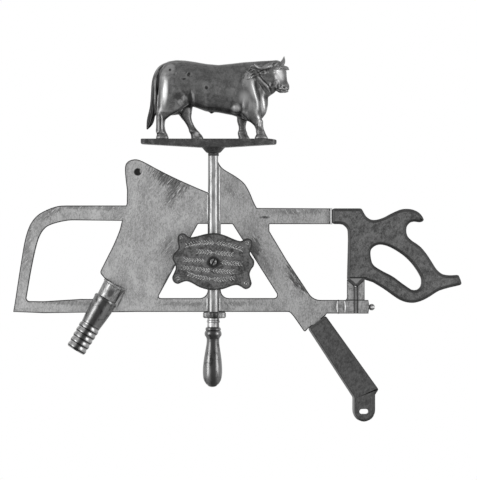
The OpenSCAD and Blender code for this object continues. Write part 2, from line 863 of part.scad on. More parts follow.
module bull_platform() {
    color("dimgray")
        difference() {
            union() {
                intersection() {
                    slab(platform_w + eps)
                        polygon(outline([
                            [platform_left, platform_z, 1],
                            [platform_left + platform_l - 12, platform_z, 20],
                            [platform_left + platform_l, platform_z - 1.8, 2.2],
                            [platform_left + platform_l, platform_z - platform_end_t, 2.2],
                            [rod_x + boss_top_r, platform_z - platform_mid_t, 0],
                            [rod_x - boss_top_r, platform_z - platform_mid_t, 0],
                            [platform_left, platform_z - platform_end_t + 0.6, 1.6]
                        ]));
                    translate([0, 0, platform_z - 2 * platform_mid_t])
                        linear_extrude(height = 3 * platform_mid_t)
                            polygon(outline([
                                [platform_left, -platform_w / 2, 9],
                                [platform_left + platform_l, -platform_w / 2, 9],
                                [platform_left + platform_l, platform_w / 2, 9],
                                [platform_left, platform_w / 2, 9]
                            ]));
                }
                translate([rod_x, 0, boss_z])
                    rotate_extrude()
                        polygon(concat(
                            [[0, boss_h + 2], [boss_top_r, boss_h + 2], [boss_top_r, boss_h]],
                            [for (q = boss_flare)
                                [boss_low_r + q.x * (boss_top_r - boss_low_r), q.y * boss_h]],
                            [[boss_low_r - 0.8, 0], [0, 0]]));
            }
            translate([rod_x, 0, boss_z - eps])
                cylinder(d = spigot_d + 2 * seat, h = platform_z - 4 - boss_z + eps + seat);
            translate([plug_x, -platform_w / 2 - eps, plug_z])
                rotate([-90, 0, 0])
                    cylinder(d = plug_d + 0.1, h = 9 + eps);
            for (h = hooves)
                translate([h.x, h.y, platform_z - 2 * platform_mid_t]) {
                    cylinder(d = hoof_screw_d + 2 * seat, h = 3 * platform_mid_t);
                    cylinder(d = 2 * hoof_screw_d, h = 2 * platform_mid_t - screw_seat);
                }
        }
}

plug_x = rod_x + 63;
plug_z = platform_z - 4;
screw_seat = 5;

module platform_plug() {
    color("gray")
        translate([plug_x, -platform_w / 2, plug_z])
            rotate([-90, 0, 0])
                cylinder(d = plug_d, h = 9);
}

module hoof_screws() {
    color("gray")
        for (h = hooves)
            translate([h.x, h.y, platform_z - screw_seat]) {
                translate([0, 0, -2])
                    cylinder(d = 2 * hoof_screw_d - 0.6, h = 2);
                translate([0, 0, -0.01])
                    cylinder(d = hoof_screw_d, h = screw_seat + 9);
            }
}

// Bull, measured from the steel's axis and the platform's top

// Each leg station is [height, rear, front, half width]
hind_near = [
    [hind_joint, -91.8, -75.5, 6.5], [25, -92, -76, 5.6], [14, -92.6, -76.2, 5.2],
    [9, -92.8, -74.8, 6], [4, -91.4, -72.4, 7], [0, -92, -71, 7.6]
];
hind_far = [
    [hind_joint, -51, -35.8, 6.5], [25, -45.4, -32.2, 5.6], [16, -40, -25.6, 5.2],
    [8, -37, -18.4, 6], [4, -35.6, -16.8, 7], [0, -36, -15.6, 7.6]
];
fore_near = [
    [fore_joint, 62.6, 79, 6.8], [14, 67.2, 81, 5.6], [7, 68.4, 83.8, 6], [3, 67.4, 86, 7],
    [0, 65, 87.6, 7.6]
];
fore_far = [
    [fore_joint, 38.9, 51.4, 6.6], [14, 39.8, 52.6, 5.6], [9, 38.8, 54.2, 6],
    [4, 40, 56.6, 7], [0, 39.6, 58.4, 7.6]
];

function foot_of(leg, y) = let(f = leg[len(leg) - 1]) [rod_x + (f[1] + f[2]) / 2, y];
hooves = [
    foot_of(hind_near, -leg_y), foot_of(hind_far, leg_y),
    foot_of(fore_near, -leg_y), foot_of(fore_far, leg_y)
];

module at_bull() {
    translate([rod_x, 0, platform_z])
        children();
}

module lower_leg(stations, y) {
    color("gray")
        difference() {
            at_bull()
                skin([for (s = curve(stations, 3))
                    level_ring([(s[1] + s[2]) / 2, y, s[0]], (s[2] - s[1]) / 2, s[3])]);
            translate([foot_of(stations, y).x, y, platform_z - eps])
                cylinder(d = hoof_screw_d + 2 * seat, h = 9 + eps + seat);
        }
}

module hind_leg_near() lower_leg(hind_near, -leg_y);
module hind_leg_far() lower_leg(hind_far, leg_y);
module fore_leg_near() lower_leg(fore_near, -leg_y);
module fore_leg_far() lower_leg(fore_far, leg_y);

// Ball stretched to half sizes r, about point p
module ball(p, r) {
    translate(p)
        scale(r)
            sphere(r = 1, $fn = 20);
}

// Flat end of an upper leg, where the lower leg is joined on
module leg_end(leg, y) {
    s = leg[0];
    translate([(s[1] + s[2]) / 2, y, s[0]])
        scale([(s[2] - s[1]) / 2, s[3], 1])
            cylinder(r = 1, h = 1, $fn = 16);
}

// Trunk stations are [along, lowest, highest, half width]
trunk = [
    [-89, 84, 100, 5], [-87, 70, 111, 14], [-79, 60, 122, 21], [-66, 56, 126, belly_r - 4],
    [-48, 54, 126, belly_r - 2.5], [-30, 50.6, 123.6, belly_r - 1.5],
    [-12, 43.5, 120.3, belly_r], [8, 41.6, 118.5, belly_r], [30, 37.5, 120.8, belly_r - 1],
    [48, 31, 123, belly_r - 2], [64, 27, 124, belly_r - 4], [77, 29.5, 124.6, belly_r - 9],
    [85, 40, 120, belly_r - 14], [88.5, 52, 104, 7]
];

// Upright oval of points at a trunk station
function upright_ring(s, n = 28) = let(mid = (s[1] + s[2]) / 2, half = (s[2] - s[1]) / 2)
    [for (k = [0:n - 1]) let(c = cos(360 * k / n), d = sin(360 * k / n))
        [s[0], s[3] * sign(c) * pow(abs(c), 0.85), mid + half * sign(d) * pow(abs(d), 0.85)]];

module trunk_shape() {
    skin([for (s = curve(trunk, 2)) upright_ring(s)]);
}

module upper_legs() {
    hull() {
        ball([-64, -12, 88], [22, 13, 30]);
        ball([-74, -leg_y, 54], [14, 9, 15]);
    }
    hull() {
        ball([-76, -leg_y, 52], [13, 9, 13]);
        leg_end(hind_near, -leg_y);
    }
    hull() {
        ball([-72, -8, 47], [9, 12, 10.5]);
        ball([-56, 8, 48], [9, 12, 11]);
    }
    hull() {
        ball([-60, 12, 84], [22, 13, 28]);
        ball([-48, leg_y, 60], [18, 9, 14]);
    }
    hull() {
        ball([-47.5, leg_y, 57], [17.5, 9, 12]);
        leg_end(hind_far, leg_y);
    }
    hull() {
        ball([56, -11, 84], [20, 15, 26]);
        ball([60, -leg_y, 52], [16, 11, 18]);
    }
    hull() {
        ball([62, -leg_y, 48], [14, 10, 14]);
        leg_end(fore_near, -leg_y);
    }
    hull() {
        ball([54, 11, 84], [20, 15, 26]);
        ball([50, leg_y, 52], [15, 11, 17]);
    }
    hull() {
        ball([48, leg_y, 47], [12, 9, 12]);
        leg_end(fore_far, leg_y);
    }
}

module neck_shape() {
    hull() {
        ball([60, -1, 90], [20, 20, 33]);
        ball([80, -4, 96], [13, 17, 29]);
    }
    hull() {
        ball([80, -4, 96], [13, 17, 29]);
        ball([95, -8, 105], [11, 14, 21]);
    }
    hull() {
        ball([92, -7, 84], [10, 9, 13]);
        ball([78, -4, 78], [10, 13, 16]);
    }
}

// Frame of the turned head: X forward along the face, Y to the far side
module at_head() {
    translate([101.5, -8, 0])
        rotate([0, 0, -head_turn])
            children();
}

module head_shape() {
    at_head() {
        hull() {
            ball([-2, 0, 113], [12.5, 15, 13.5]);
            ball([3, 0, 106], [12, 15.4, 11]);
        }
        hull() {
            ball([3, 0, 106], [12, 14.5, 11]);
            ball([9, 0, 90], [9, 10.5, 9]);
        }
        hull() {
            ball([9, 0, 90], [9, 10.2, 9]);
            ball([14, 0, 82], [9.2, 10.6, 8.6]);
        }
        hull() {
            ball([-8, 0, 94], [10, 12, 14]);
            ball([9, 0, 80], [9, 8.6, 7.4]);
        }
    }
}

// Slanted space in front of the plane where the head is joined on
module head_space() {
    translate([82, -60, 98])
        rotate([0, 17, 0])
            translate([0, 0, -32])
                cube([90, 120, 80]);
}

module bull_figure() {
    trunk_shape();
    upper_legs();
    neck_shape();
    head_shape();
}

module bull_body() {
    color("gray")
        at_bull()
            difference() {
                bull_figure();
                head_space();
            }
}

module bull_head() {
    color("gray")
        at_bull()
            intersection() {
                bull_figure();
                head_space();
            }
}

near_horn = [
    [-1, -11, 118], [-3, -19, 115.5], [-8, -26, 113], [-14, -30.5, 114], [-20, -33.5, 119.5]
];
far_horn = [[-1, 11, 118], [-3, 18, 122], [-5.5, 24, 127.5], [-7, 27, 133]];

near_horn_r = [5, 4.8, 4.2, 3.2, 1];
far_horn_r = [4.8, 4.2, 2.8, 1];

module horn_shape(path, r) {
    at_head()
        horn_tube(curve(path, 3), curve(r, 3), [1, 0, 0]);
}

module horn(path, r) {
    color("lightgray")
        at_bull()
            difference() {
                horn_shape(path, r);
                bull_figure();
            }
}

module bull_horn_near() horn(near_horn, near_horn_r);
module bull_horn_far() horn(far_horn, far_horn_r);

module ear(root, tip, flat) {
    hull() {
        ball(root, [3, 3, 2.6]);
        ball((root + tip) / 2, flat);
        ball(tip, [1.2, 1.2, 1.2]);
    }
}

module bull_ear_near() {
    color("gray")
        at_bull()
            difference() {
                at_head()
                    ear([-1, -13, 107], [-14, -29, 103.5], [5, 3.2, 4.6]);
                bull_figure();
                horn_shape(near_horn, near_horn_r);
            }
}

module bull_ear_far() {
    color("gray")
        at_bull()
            difference() {
                at_head()
                    ear([0, 13, 115], [2, 30, 112], [3.4, 4.4, 3.4]);
                bull_figure();
                horn_shape(far_horn, far_horn_r);
            }
}

tail_path = [
    [-71, 0, 121], [-82, 0, 115.5], [-91, 0, 105], [-95.6, 0, 90], [-96.6, 0, 70],
    [-97.2, 0, 54], [-98.4, 0, 42], [-99.4, 0, 32], [-102.5, 0, 23], [-105.8, 0, 16]
];
tail_r = [4.4, 4.4, 4, 3.5, 3.3, 3.6, 5, 6.2, 4.6, 1.2];

module bull_tail() {
    color("dimgray")
        at_bull()
            difference() {
                horn_tube(curve(tail_path, 2), curve(tail_r, 2), [0, 1, 0]);
                bull_figure();
            }
}

// Plaque, its spacer and its screw

// Right half of the plaque's edge from top to bottom
plaque_right = [
    [0, 46.4], [15, 44], [28, 39.6], [38, 36.9], [43.5, 37.8], [49, 41.6], [55.5, 41.4],
    [59.8, 36.6], [59.4, 28], [57, 19], [60.6, 12.5], [64.8, 7], [64.8, -1], [61, -7.5],
    [59.2, -15], [61.6, -23], [63.6, -30], [60.5, -36.6], [54, -39.2], [47.5, -36.2],
    [40.5, -33.8], [32, -35.8], [18, -42], [0, -45]
];
plaque_edge = loop(concat(
    plaque_right,
    [for (k = [len(plaque_right) - 2:-1:1]) [-plaque_right[k].x, plaque_right[k].y]]
), 3);

module at_pivot() {
    translate([rod_x, 0, plaque_z])
        rotate([0, plaque_tilt, 0])
            children();
}

recess_r = 7.4;
recess_depth = 1.6;
screw_head_h = 3;

module centre_plaque() {
    color("dimgray")
        at_pivot()
            difference() {
                translate([0, -plaque_back - pivot_end_gap - plaque_t / 2, 0])
                    slab(plaque_t)
                        scale([plaque_w / 130, plaque_h / 92])
                            polygon(plaque_edge);
                translate([0, -plaque_back - pivot_end_gap + eps, 0])
                    rotate([90, 0, 0])
                        cylinder(r = plaque_screw_d / 2 + pivot_clear, h = plaque_t + 2 * eps);
                translate([0, -plaque_back - pivot_end_gap - plaque_t + recess_depth, 0])
                    rotate([90, 0, 0])
                        cylinder(r = recess_r, h = recess_depth + eps);
            }
}

module plaque_spacer() {
    color("silver")
        difference() {
            translate([rod_x, -plaque_back, plaque_z])
                rotate([-90, 0, 0])
                    cylinder(r = plaque_screw_d / 2 + 3, h = plaque_gap + rod_foot_d / 2);
            translate([rod_x, 0, guard_z])
                cylinder(r1 = rod_y(guard_z), r2 = rod_y(nut_z), h = nut_z - guard_z);
            translate([rod_x, -plaque_back - eps, plaque_z])
                rotate([-90, 0, 0])
                    cylinder(d = plaque_screw_d + 2 * seat, h = plaque_back);
        }
}

module plaque_screw() {
    head_y = plaque_back + 2 * pivot_end_gap + plaque_t - recess_depth;
    color("gray")
        translate([rod_x, -head_y, plaque_z])
            difference() {
                union() {
                    rotate([-90, 0, 0])
                        cylinder(d = plaque_screw_d, h = head_y + 2.4);
                    rotate([90, 0, 0])
                        rotate_extrude()
                            polygon(concat([[0, -0.02], [recess_r - 1.8, -0.02]],
                                [for (k = [0:5]) [(recess_r - 1.8) * cos(90 * k / 6),
                                    0.6 + (screw_head_h - 0.6) * sin(90 * k / 6)]],
                                [[0, screw_head_h]]));
                }
                rotate([0, 35, 0])
                    translate([-recess_r, -screw_head_h - eps, -0.7])
                        cube([2 * recess_r, 1.4 + eps, 1.4]);
            }
}

cleaver_plate();
knife_plate();
steel_rod();
steel_guard();
steel_ferrule();
steel_handle();
steel_button();
boss_nut();
bull_platform();
platform_plug();
hoof_screws();
bull_body();
bull_head();
bull_horn_near();
bull_horn_far();
bull_ear_near();
bull_ear_far();
bull_tail();
hind_leg_near();
hind_leg_far();
fore_leg_near();
fore_leg_far();
centre_plaque();
plaque_screw();
plaque_spacer();
cleaver_ferrule();
cleaver_grip();
knife_handle();
saw_handle();
saw_band();
saw_post();
clamp_collar();
blade_clamp();
tension_screw();
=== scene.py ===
import math
from functools import reduce
from operator import or_

import bpy
import numpy as np
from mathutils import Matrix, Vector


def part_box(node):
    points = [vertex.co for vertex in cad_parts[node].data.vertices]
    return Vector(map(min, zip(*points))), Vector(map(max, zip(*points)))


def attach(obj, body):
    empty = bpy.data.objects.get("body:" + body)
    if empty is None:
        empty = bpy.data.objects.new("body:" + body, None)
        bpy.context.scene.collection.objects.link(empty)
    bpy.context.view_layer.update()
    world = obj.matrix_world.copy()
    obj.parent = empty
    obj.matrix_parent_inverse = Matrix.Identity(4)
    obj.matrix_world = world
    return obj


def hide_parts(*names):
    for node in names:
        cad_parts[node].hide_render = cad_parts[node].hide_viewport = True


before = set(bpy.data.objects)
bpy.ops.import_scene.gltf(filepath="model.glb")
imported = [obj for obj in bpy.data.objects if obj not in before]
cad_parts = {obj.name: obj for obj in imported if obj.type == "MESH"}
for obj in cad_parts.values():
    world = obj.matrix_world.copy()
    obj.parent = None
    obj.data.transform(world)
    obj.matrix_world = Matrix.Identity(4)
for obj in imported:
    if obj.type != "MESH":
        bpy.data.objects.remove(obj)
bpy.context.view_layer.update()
MM = 0.001

# The sharpening steel's rod is the post of the sign: a tapered steel bar, turned smooth and rubbed
# bright, with a groove down each side that holds the two plates. Its spigot goes up into the
# platform's boss and its tang down into the handle.
ROD_X = 121.0
ROD_MIDDLE = (ROD_X, 0, 0)
ROD_TOP_Z, ROD_TOP_R = 25.8, 8.5
ROD_FOOT_Z, ROD_FOOT_R = -223.8, 9.4
ROD_GREY = 150
ROD_STREAK_GREY = 92


def metres(place):
    return tuple(v * MM for v in place)


def grey(level):
    """Linear colour of a grey, from 0 to 255."""
    value = (level / 255) ** 2.2
    return (value, value, value, 1.0)


class Wire:
    """A socket of a finish. Arithmetic on wires adds Math nodes."""

    def __init__(self, tree, socket):
        self.tree = tree
        self.socket = socket

    def node(self, kind, settings, inputs, out=0):
        made = self.tree.nodes.new(kind)
        for name, value in settings.items():
            setattr(made, name, value)
        for name, value in inputs.items():
            if isinstance(value, Wire):
                self.tree.links.new(value.socket, made.inputs[name])
            else:
                made.inputs[name].default_value = value
        return Wire(self.tree, made.outputs[out]) if len(made.outputs) else None

    def math(self, operation, *values):
        return self.node("ShaderNodeMath", {"operation": operation}, dict(enumerate(values)))

    def __add__(self, other):
        return self.math("ADD", self, other)

    def __sub__(self, other):
        return self.math("SUBTRACT", self, other)

    def __rsub__(self, other):
        return self.math("SUBTRACT", other, self)

    def __mul__(self, other):
        return self.math("MULTIPLY", self, other)

    def __or__(self, other):
        return self.math("MAXIMUM", self, other)

    __radd__ = __add__
    __rmul__ = __mul__

    def size(self):
        return self.math("ABSOLUTE", self)

    def rise(self, low, high):
        """0 below low and 1 above high, with a soft step between."""
        return self.node("ShaderNodeMapRange", {"interpolation_type": "SMOOTHSTEP"},
                         {0: self, 1: low, 2: high, 3: 0.0, 4: 1.0})

    def tint(self, low, high):
        """The first grey where the wire is 0, and the second where it is 1. A grey is a level
        from 0 to 255, or a wire."""
        low, high = (v if isinstance(v, Wire) else grey(v) for v in (low, high))
        return self.node("ShaderNodeMix", {"data_type": "RGBA"}, {0: self, 6: low, 7: high}, 2)

    def part(self, axis):
        return self.node("ShaderNodeSeparateXYZ", {}, {0: self}, "XYZ".index(axis))

    def mm(self, axis):
        """One coordinate of a place, in millimetres."""
        return self.part(axis) * (1 / MM)

    def mark(self, name):
        """A number that is kept on the points of the mesh."""
        return self.node("ShaderNodeAttribute", {"attribute_name": name}, {}, 2)

    def placed(self, at=(0, 0, 0), turn=(0, 0, 0), size=(1, 1, 1)):
        """Place measured from a point, along turned axes, in units of size. Millimetres."""
        return self.node("ShaderNodeMapping", {"vector_type": "TEXTURE"}, {
            "Vector": self, "Location": metres(at),
            "Rotation": [math.radians(v) for v in turn], "Scale": metres(size)})

    def noise(self, size, detail=3.0, rough=0.55, warp=0.0, turn=0, at=(0, 0, 0)):
        """Noise with grains of this size, one number or three, turned about Y."""
        size = size if isinstance(size, tuple) else (size, size, size)
        return self.node("ShaderNodeTexNoise", {}, {
            "Vector": self.placed(at, (0, turn, 0), size), "Scale": 1.0, "Detail": detail,
            "Roughness": rough, "Distortion": warp})

    def scattered(self, size):
        """Distance to the nearest of scattered points, in units of size."""
        return self.node("ShaderNodeTexVoronoi", {}, {
            "Vector": self.placed(size=(size, size, size)), "Scale": 1.0})

    def facing(self, axis):
        """How far the surface faces along an axis."""
        return self.node("ShaderNodeTexCoord", {}, {}, "Normal").part(axis)

    def reach(self):
        """Distance from the point that a place is measured from."""
        return self.node("ShaderNodeVectorMath", {"operation": "LENGTH"}, {0: self}, 1)


def finish(name):
    """A new finish with its wire of places."""
    material = bpy.data.materials.new(name)
    material.use_nodes = True
    material.node_tree.nodes.clear()
    blank = Wire(material.node_tree, None)
    return material, blank.node("ShaderNodeTexCoord", {}, {}, "Object")


def surface(colour, rough, metallic, height, depth):
    """Ends a finish with its shader. Height is from 0 to 1, and depth in millimetres."""
    bump = colour.node("ShaderNodeBump", {}, {"Height": height, "Distance": depth * MM})
    shader = colour.node("ShaderNodeBsdfPrincipled", {}, {
        "Base Color": colour, "Roughness": rough, "Metallic": metallic, "Normal": bump})
    colour.node("ShaderNodeOutputMaterial", {}, {"Surface": shader})


def coat(node, material):
    """Puts a finish on a node of the CAD model."""
    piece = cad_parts[node]
    for place in piece.material_slots:
        place.material = material


def pick(piece):
    """Leaves this piece alone selected and active."""
    bpy.ops.object.select_all(action="DESELECT")
    piece.select_set(True)
    bpy.context.view_layer.objects.active = piece


def trim(piece, kind, **settings):
    """Adds a modifier with its settings and applies it."""
    pick(piece)
    modifier = piece.modifiers.new(kind.lower(), kind)
    for name, value in settings.items():
        setattr(modifier, name, value)
    bpy.ops.object.modifier_apply(modifier=modifier.name)


def select_faces(piece, wanted):
    """Goes into edit mode with only the wanted faces selected."""
    pick(piece)
    chosen = [face.index for face in piece.data.polygons if wanted(face)]
    bpy.ops.object.mode_set(mode="EDIT")
    bpy.ops.mesh.select_mode(type="FACE")
    bpy.ops.mesh.select_all(action="DESELECT")
    bpy.ops.object.mode_set(mode="OBJECT")
    for index in chosen:
        piece.data.polygons[index].select = True
    bpy.ops.object.mode_set(mode="EDIT")


def inset_faces(piece, wanted, width, sink=0.0):
    """Sets the wanted faces in by width mm and back by sink, and leaves the inner ones selected."""
    select_faces(piece, wanted)
    bpy.ops.mesh.inset(thickness=width * MM, depth=-sink * MM, use_even_offset=False)
    bpy.ops.object.mode_set(mode="OBJECT")


def worn(node, width, name, angle=25, rim=0.0):
    """A copy of a CAD node with its edges worn round, which stands for the node. The rim of its
    front and back faces, this wide, is marked for its finish: 1 at the edge and 0 inside."""
    piece = bpy.data.objects.new(name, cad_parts[node].data.copy())
    bpy.context.scene.collection.objects.link(piece)
    pick(piece)
    bpy.ops.object.mode_set(mode="EDIT")
    bpy.ops.mesh.select_all(action="SELECT")
    bpy.ops.mesh.remove_doubles(threshold=1e-6)
    bpy.ops.mesh.dissolve_limited(angle_limit=math.radians(0.4))
    bpy.ops.mesh.customdata_custom_splitnormals_clear()
    bpy.ops.object.mode_set(mode="OBJECT")
    if width:
        trim(piece, "BEVEL", width=width * MM, segments=3, limit_method="ANGLE",
             angle_limit=math.radians(angle), use_clamp_overlap=False)
    if rim:
        inset_faces(piece, lambda face: abs(face.normal.y) > 0.9995, rim)
        marks = np.ones(len(piece.data.vertices))
        for face in piece.data.polygons:
            if face.select:
                marks[list(face.vertices)] = 0.0
        piece.data.attributes.new("rim", "FLOAT", "POINT").data.foreach_set("value", marks)
    bpy.ops.object.shade_smooth()
    trim(piece, "WEIGHTED_NORMAL", keep_sharp=False, weight=80)
    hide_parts(node)
    return piece


def dress(piece, material, body="sign"):
    """Puts a finish on a new piece and lets it ride on its body."""
    piece.data.materials.clear()
    piece.data.materials.append(material)
    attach(piece, body)


rod_finish, at = finish("rubbed_rod")
grain = at.noise((1.2, 1.2, 26), 3, 0.6)
cloud = at.noise((7, 7, 18), 3, 0.6)
stain = at.noise((3, 3, 9), 4, 0.7, at=ROD_MIDDLE).rise(0.52, 0.7)
tone = 0.55 * grain + 0.45 * cloud
surface(tone.rise(0.3, 0.66).tint(ROD_STREAK_GREY, ROD_GREY),
        0.26 + 0.14 * cloud + 0.12 * stain, 0.92 - 0.2 * stain, tone, 0.03)
coat("steel_rod", rod_finish)

# The guard under the plates is a cast collar of four round lobes on the tang, half polished. The
# plates and the rod stand on it. The lobes in its middle, front and back, are painted dark as shade.
GUARD_GREY = 152
GUARD_PIT_GREY = 82
LOBE_SHADE_GREY = 26
LOBE_X, LOBE_HALF = ROD_X + 1.2, 7.4

guard_finish, at = finish("guard_metal")
cloud = at.noise(6, 4, 0.6)
pits = at.noise(1.6, 3, 0.6)
tone = 0.6 * cloud + 0.4 * pits
shaded_middle_lobe = (at.mm("X") - LOBE_X).size().rise(LOBE_HALF, LOBE_HALF - 2)
base = tone.rise(0.4, 0.6).tint(GUARD_PIT_GREY, GUARD_GREY)
# Painted shade on the middle lobes
surface((0.8 * shaded_middle_lobe).tint(base, LOBE_SHADE_GREY), 0.3 + 0.25 * cloud, 0.8, tone, 0.12)
guard = worn("steel_guard", 0.7, "guard_lobes")
dress(guard, guard_finish)

# Below the guard a ringed ferrule of the rod's bright steel closes the head of the handle. The tang
# passes through it, and it is darker on its right side.
FERRULE_GREY = 186
FERRULE_GRAIN_GREY = 150
FERRULE_RIGHT_SIDE_GREY = 74

ferrule_finish, at = finish("stained_ferrule")
cloud = at.noise((4, 4, 5), 4, 0.65)
grain = at.noise((1.3, 1.3, 4), 3, 0.6)
# Darker towards the right side
darkened = (at.mm("X") - ROD_X + 12 * (cloud - 0.5)).rise(-1, 4)
base = grain.rise(0.35, 0.65).tint(FERRULE_GRAIN_GREY, FERRULE_GREY)
surface((0.8 * darkened).tint(base, FERRULE_RIGHT_SIDE_GREY), 0.28 + 0.15 * cloud, 0.9, grain, 0.05)
coat("steel_ferrule", ferrule_finish)

# The steel's handle is turned in one piece with its neck ring and bead, and blackened. Its sides
# carry a painted highlight on each side of a darker band down its middle, and a button closes its
# end. A station of its outline is [distance below its top, radius].
HANDLE_TOP_Z = -248.0
HANDLE_LEAN = 0.9
HANDLE_GREY = 62
HANDLE_HIGHLIGHT_GREY = 118
HANDLE_DARK_GREY = 38
HANDLE_STATIONS = (
    (0, 9.6), (0.8, 11.2), (2, 12.1), (4, 12.4), (5.2, 12.0), (5.7, 11.5), (6.2, 11.9),
    (7.4, 12.9), (9.4, 13.6), (11.6, 13.7), (13.4, 13.2), (15.2, 12.0), (16.6, 11.0),
    (18.2, 10.4), (19.6, 10.1), (22, 10.0), (26, 10.2), (30, 10.7), (36, 11.7), (42, 12.7),
    (48, 13.6), (54, 14.4), (60, 15.0), (66, 15.4), (71, 15.5), (76, 15.3), (80, 14.9),
    (83.4, 14.2), (86.4, 13.0), (89, 11.5), (91, 10.0), (92, 9.1), (92.2, 8.4))


def drawn_out(stations, to_metres, corners, turn=(0, 0, 0)):
    """A body drawn through ovals. A station is [place, half sizes], in millimetres."""
    place, half = stations[0]
    bpy.ops.mesh.primitive_circle_add(
        vertices=corners, radius=MM, fill_type="NGON", location=to_metres(place), rotation=turn)
    piece = bpy.context.object
    pick(piece)
    bpy.ops.object.transform_apply(location=False, rotation=True, scale=False)
    bpy.ops.object.mode_set(mode="EDIT")
    bpy.ops.mesh.select_all(action="SELECT")
    bpy.ops.transform.resize(value=half, center_override=to_metres(place))
    for (place, half), (after, wider) in zip(stations, stations[1:]):
        bpy.ops.mesh.extrude_region_move(TRANSFORM_OT_translate={
            "value": [(b - a) * MM for a, b in zip(place, after)]})
        bpy.ops.transform.resize(value=[b / a for a, b in zip(half, wider)],
                                 center_override=to_metres(after))
    bpy.ops.mesh.select_all(action="SELECT")
    bpy.ops.mesh.normals_make_consistent(inside=False)
    bpy.ops.object.mode_set(mode="OBJECT")
    return piece


def turned(name, top_z, lean, stations):
    """A round body drawn down from its top, and leant about the foot of the rod."""
    piece = drawn_out([((ROD_X, 0, top_z - down), (radius, radius, 1.0))
                       for down, radius in stations], metres, 56)
    piece.name = name
    bpy.context.scene.cursor.location = metres((ROD_X, 0, ROD_FOOT_Z))
    bpy.ops.object.origin_set(type="ORIGIN_CURSOR")
    piece.rotation_euler = (0, math.radians(lean), 0)
    bpy.ops.object.transform_apply(location=True, rotation=True, scale=True)
    bpy.ops.object.shade_smooth_by_angle(angle=math.radians(50))
    return piece


def highlighted_metal(name, middle, lean=0.0):
    """Dark turned metal with painted highlights on both sides of a darker band along its axis."""
    material, at = finish(name)
    own = at.placed(middle, (0, lean, 0))
    rings = at.noise((60, 60, 1.3), 3, 0.6)
    cloud = at.noise((6, 6, 15), 3, 0.6, 0.4)
    scuffs = at.noise((1.6, 1.6, 3.4), 4, 0.7)
    tone = 0.5 * cloud + 0.32 * scuffs + 0.18 * rings
    # Painted highlight on both sides of the axis
    painted_highlight = (own.part("X").size() + 9 * (tone - 0.5)).rise(2.5, 8.5)
    base = painted_highlight.tint(HANDLE_GREY, HANDLE_HIGHLIGHT_GREY)
    base = (0.75 * tone.rise(0.5, 0.38)).tint(base, HANDLE_DARK_GREY)
    return material, own, base, tone, 0.27 + 0.12 * cloud


handle_finish, _, base, tone, rough = highlighted_metal("turned_handle", ROD_MIDDLE)
surface(base, rough, 0.92, tone, 0.06)
handle = turned("turned_handle", HANDLE_TOP_Z, HANDLE_LEAN, HANDLE_STATIONS)
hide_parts("steel_handle")
dress(handle, handle_finish)
coat("steel_button", handle_finish)

# The two flat plates are cast iron of one thickness: the cleaver with the left half of the bow saw,
# and the knife with the right half. Their faces are ground and mottled, and their edges are worn
# round and edged with painted shade. A thin bright lip of solder closes each plate's groove in the
# rod, on both faces.
PLATE_EDGE_SHADE_GREY = 30
PLATE_STAIN_AND_SHADOW_GREY = 54
PLATE_RIM = 1.4
PLATE_BACK_Y = 4.0
HOLE_R = 4.6
HOLE_SHADE_GREY = 52
HOLE_GLINT_GREY = 196
LIP_R = 1.1
LIP_Y = 4.2
LIP_OUT = 0.7
LIP_GREY = 205

# Stains and lines are ragged ovals, each [x, z, wide, high, turn, weight]. Some are painted shadows:
# the plaque's, one on each plate, and the cleaver's sleeve's, along its top and right side.
CLEAVER_STAINS_AND_SHADOWS = (
    (50, -12, 32, 13, 27, 0.95), (60, -27, 15, 19, 30, 0.85), (54, -42, 9, 16, 30, 0.6),
    (49, -122, 11, 17, 0, 0.45), (20, -20, 22, 16, 20, 0.25), (-96, -56, 34, 3.4, 2, 0.5),
    (112, -92, 9, 60, 0, 0.3), (-26, -40, 12, 60, 0, 0.25), (-140, -66, 22, 7, -28, 0.6),
    (-176, -120, 5, 40, 8, 0.45), (-110, -209, 60, 4, 2, 0.5), (-56, -58, 26, 4, 2, 0.5),
    (74, -211, 40, 4, 0, 0.45))
CLEAVER_LINES_AND_SHADOWS = (
    (48, -170, 2.4, 38, 27, 0.95), (-35.2, -180.6, 1.3, 18, 113, 1.0),
    (-26.4, -202.8, 1.5, 17, 25.6, 1.0))
KNIFE_STAINS_AND_SHADOWS = (
    (187, -122, 10, 20, 0, 0.85), (254, -172, 12, 28, -34, 0.95), (150, -30, 9, 9, 0, 0.3),
    (262, -192, 16, 10, 0, 0.3), (252, -64, 46, 4, 0, 0.4), (160, -211, 30, 4, 0, 0.5),
    (206, -150, 6, 40, -32, 0.35))
KNIFE_LINES = ((203, -72.5, 8.4, 2.2, 0, 1.0), (206, -172, 2.2, 34, -32, 0.7))

# A lip is [side of the rod, lowest, highest]
LIPS = ((-1, -79, -36), (-1, -222, -201), (1, -79, 8), (1, -222, -201))


def spots(at, ovals, ragged, inner=0.5):
    """1 inside ragged ovals and 0 outside them."""
    return reduce(or_, [
        weight * (at.placed((x, 0, z), (0, turn, 0), (wide, 1e4, high)).reach() + ragged).rise(
            1.3, inner) for x, z, wide, high, turn, weight in ovals])


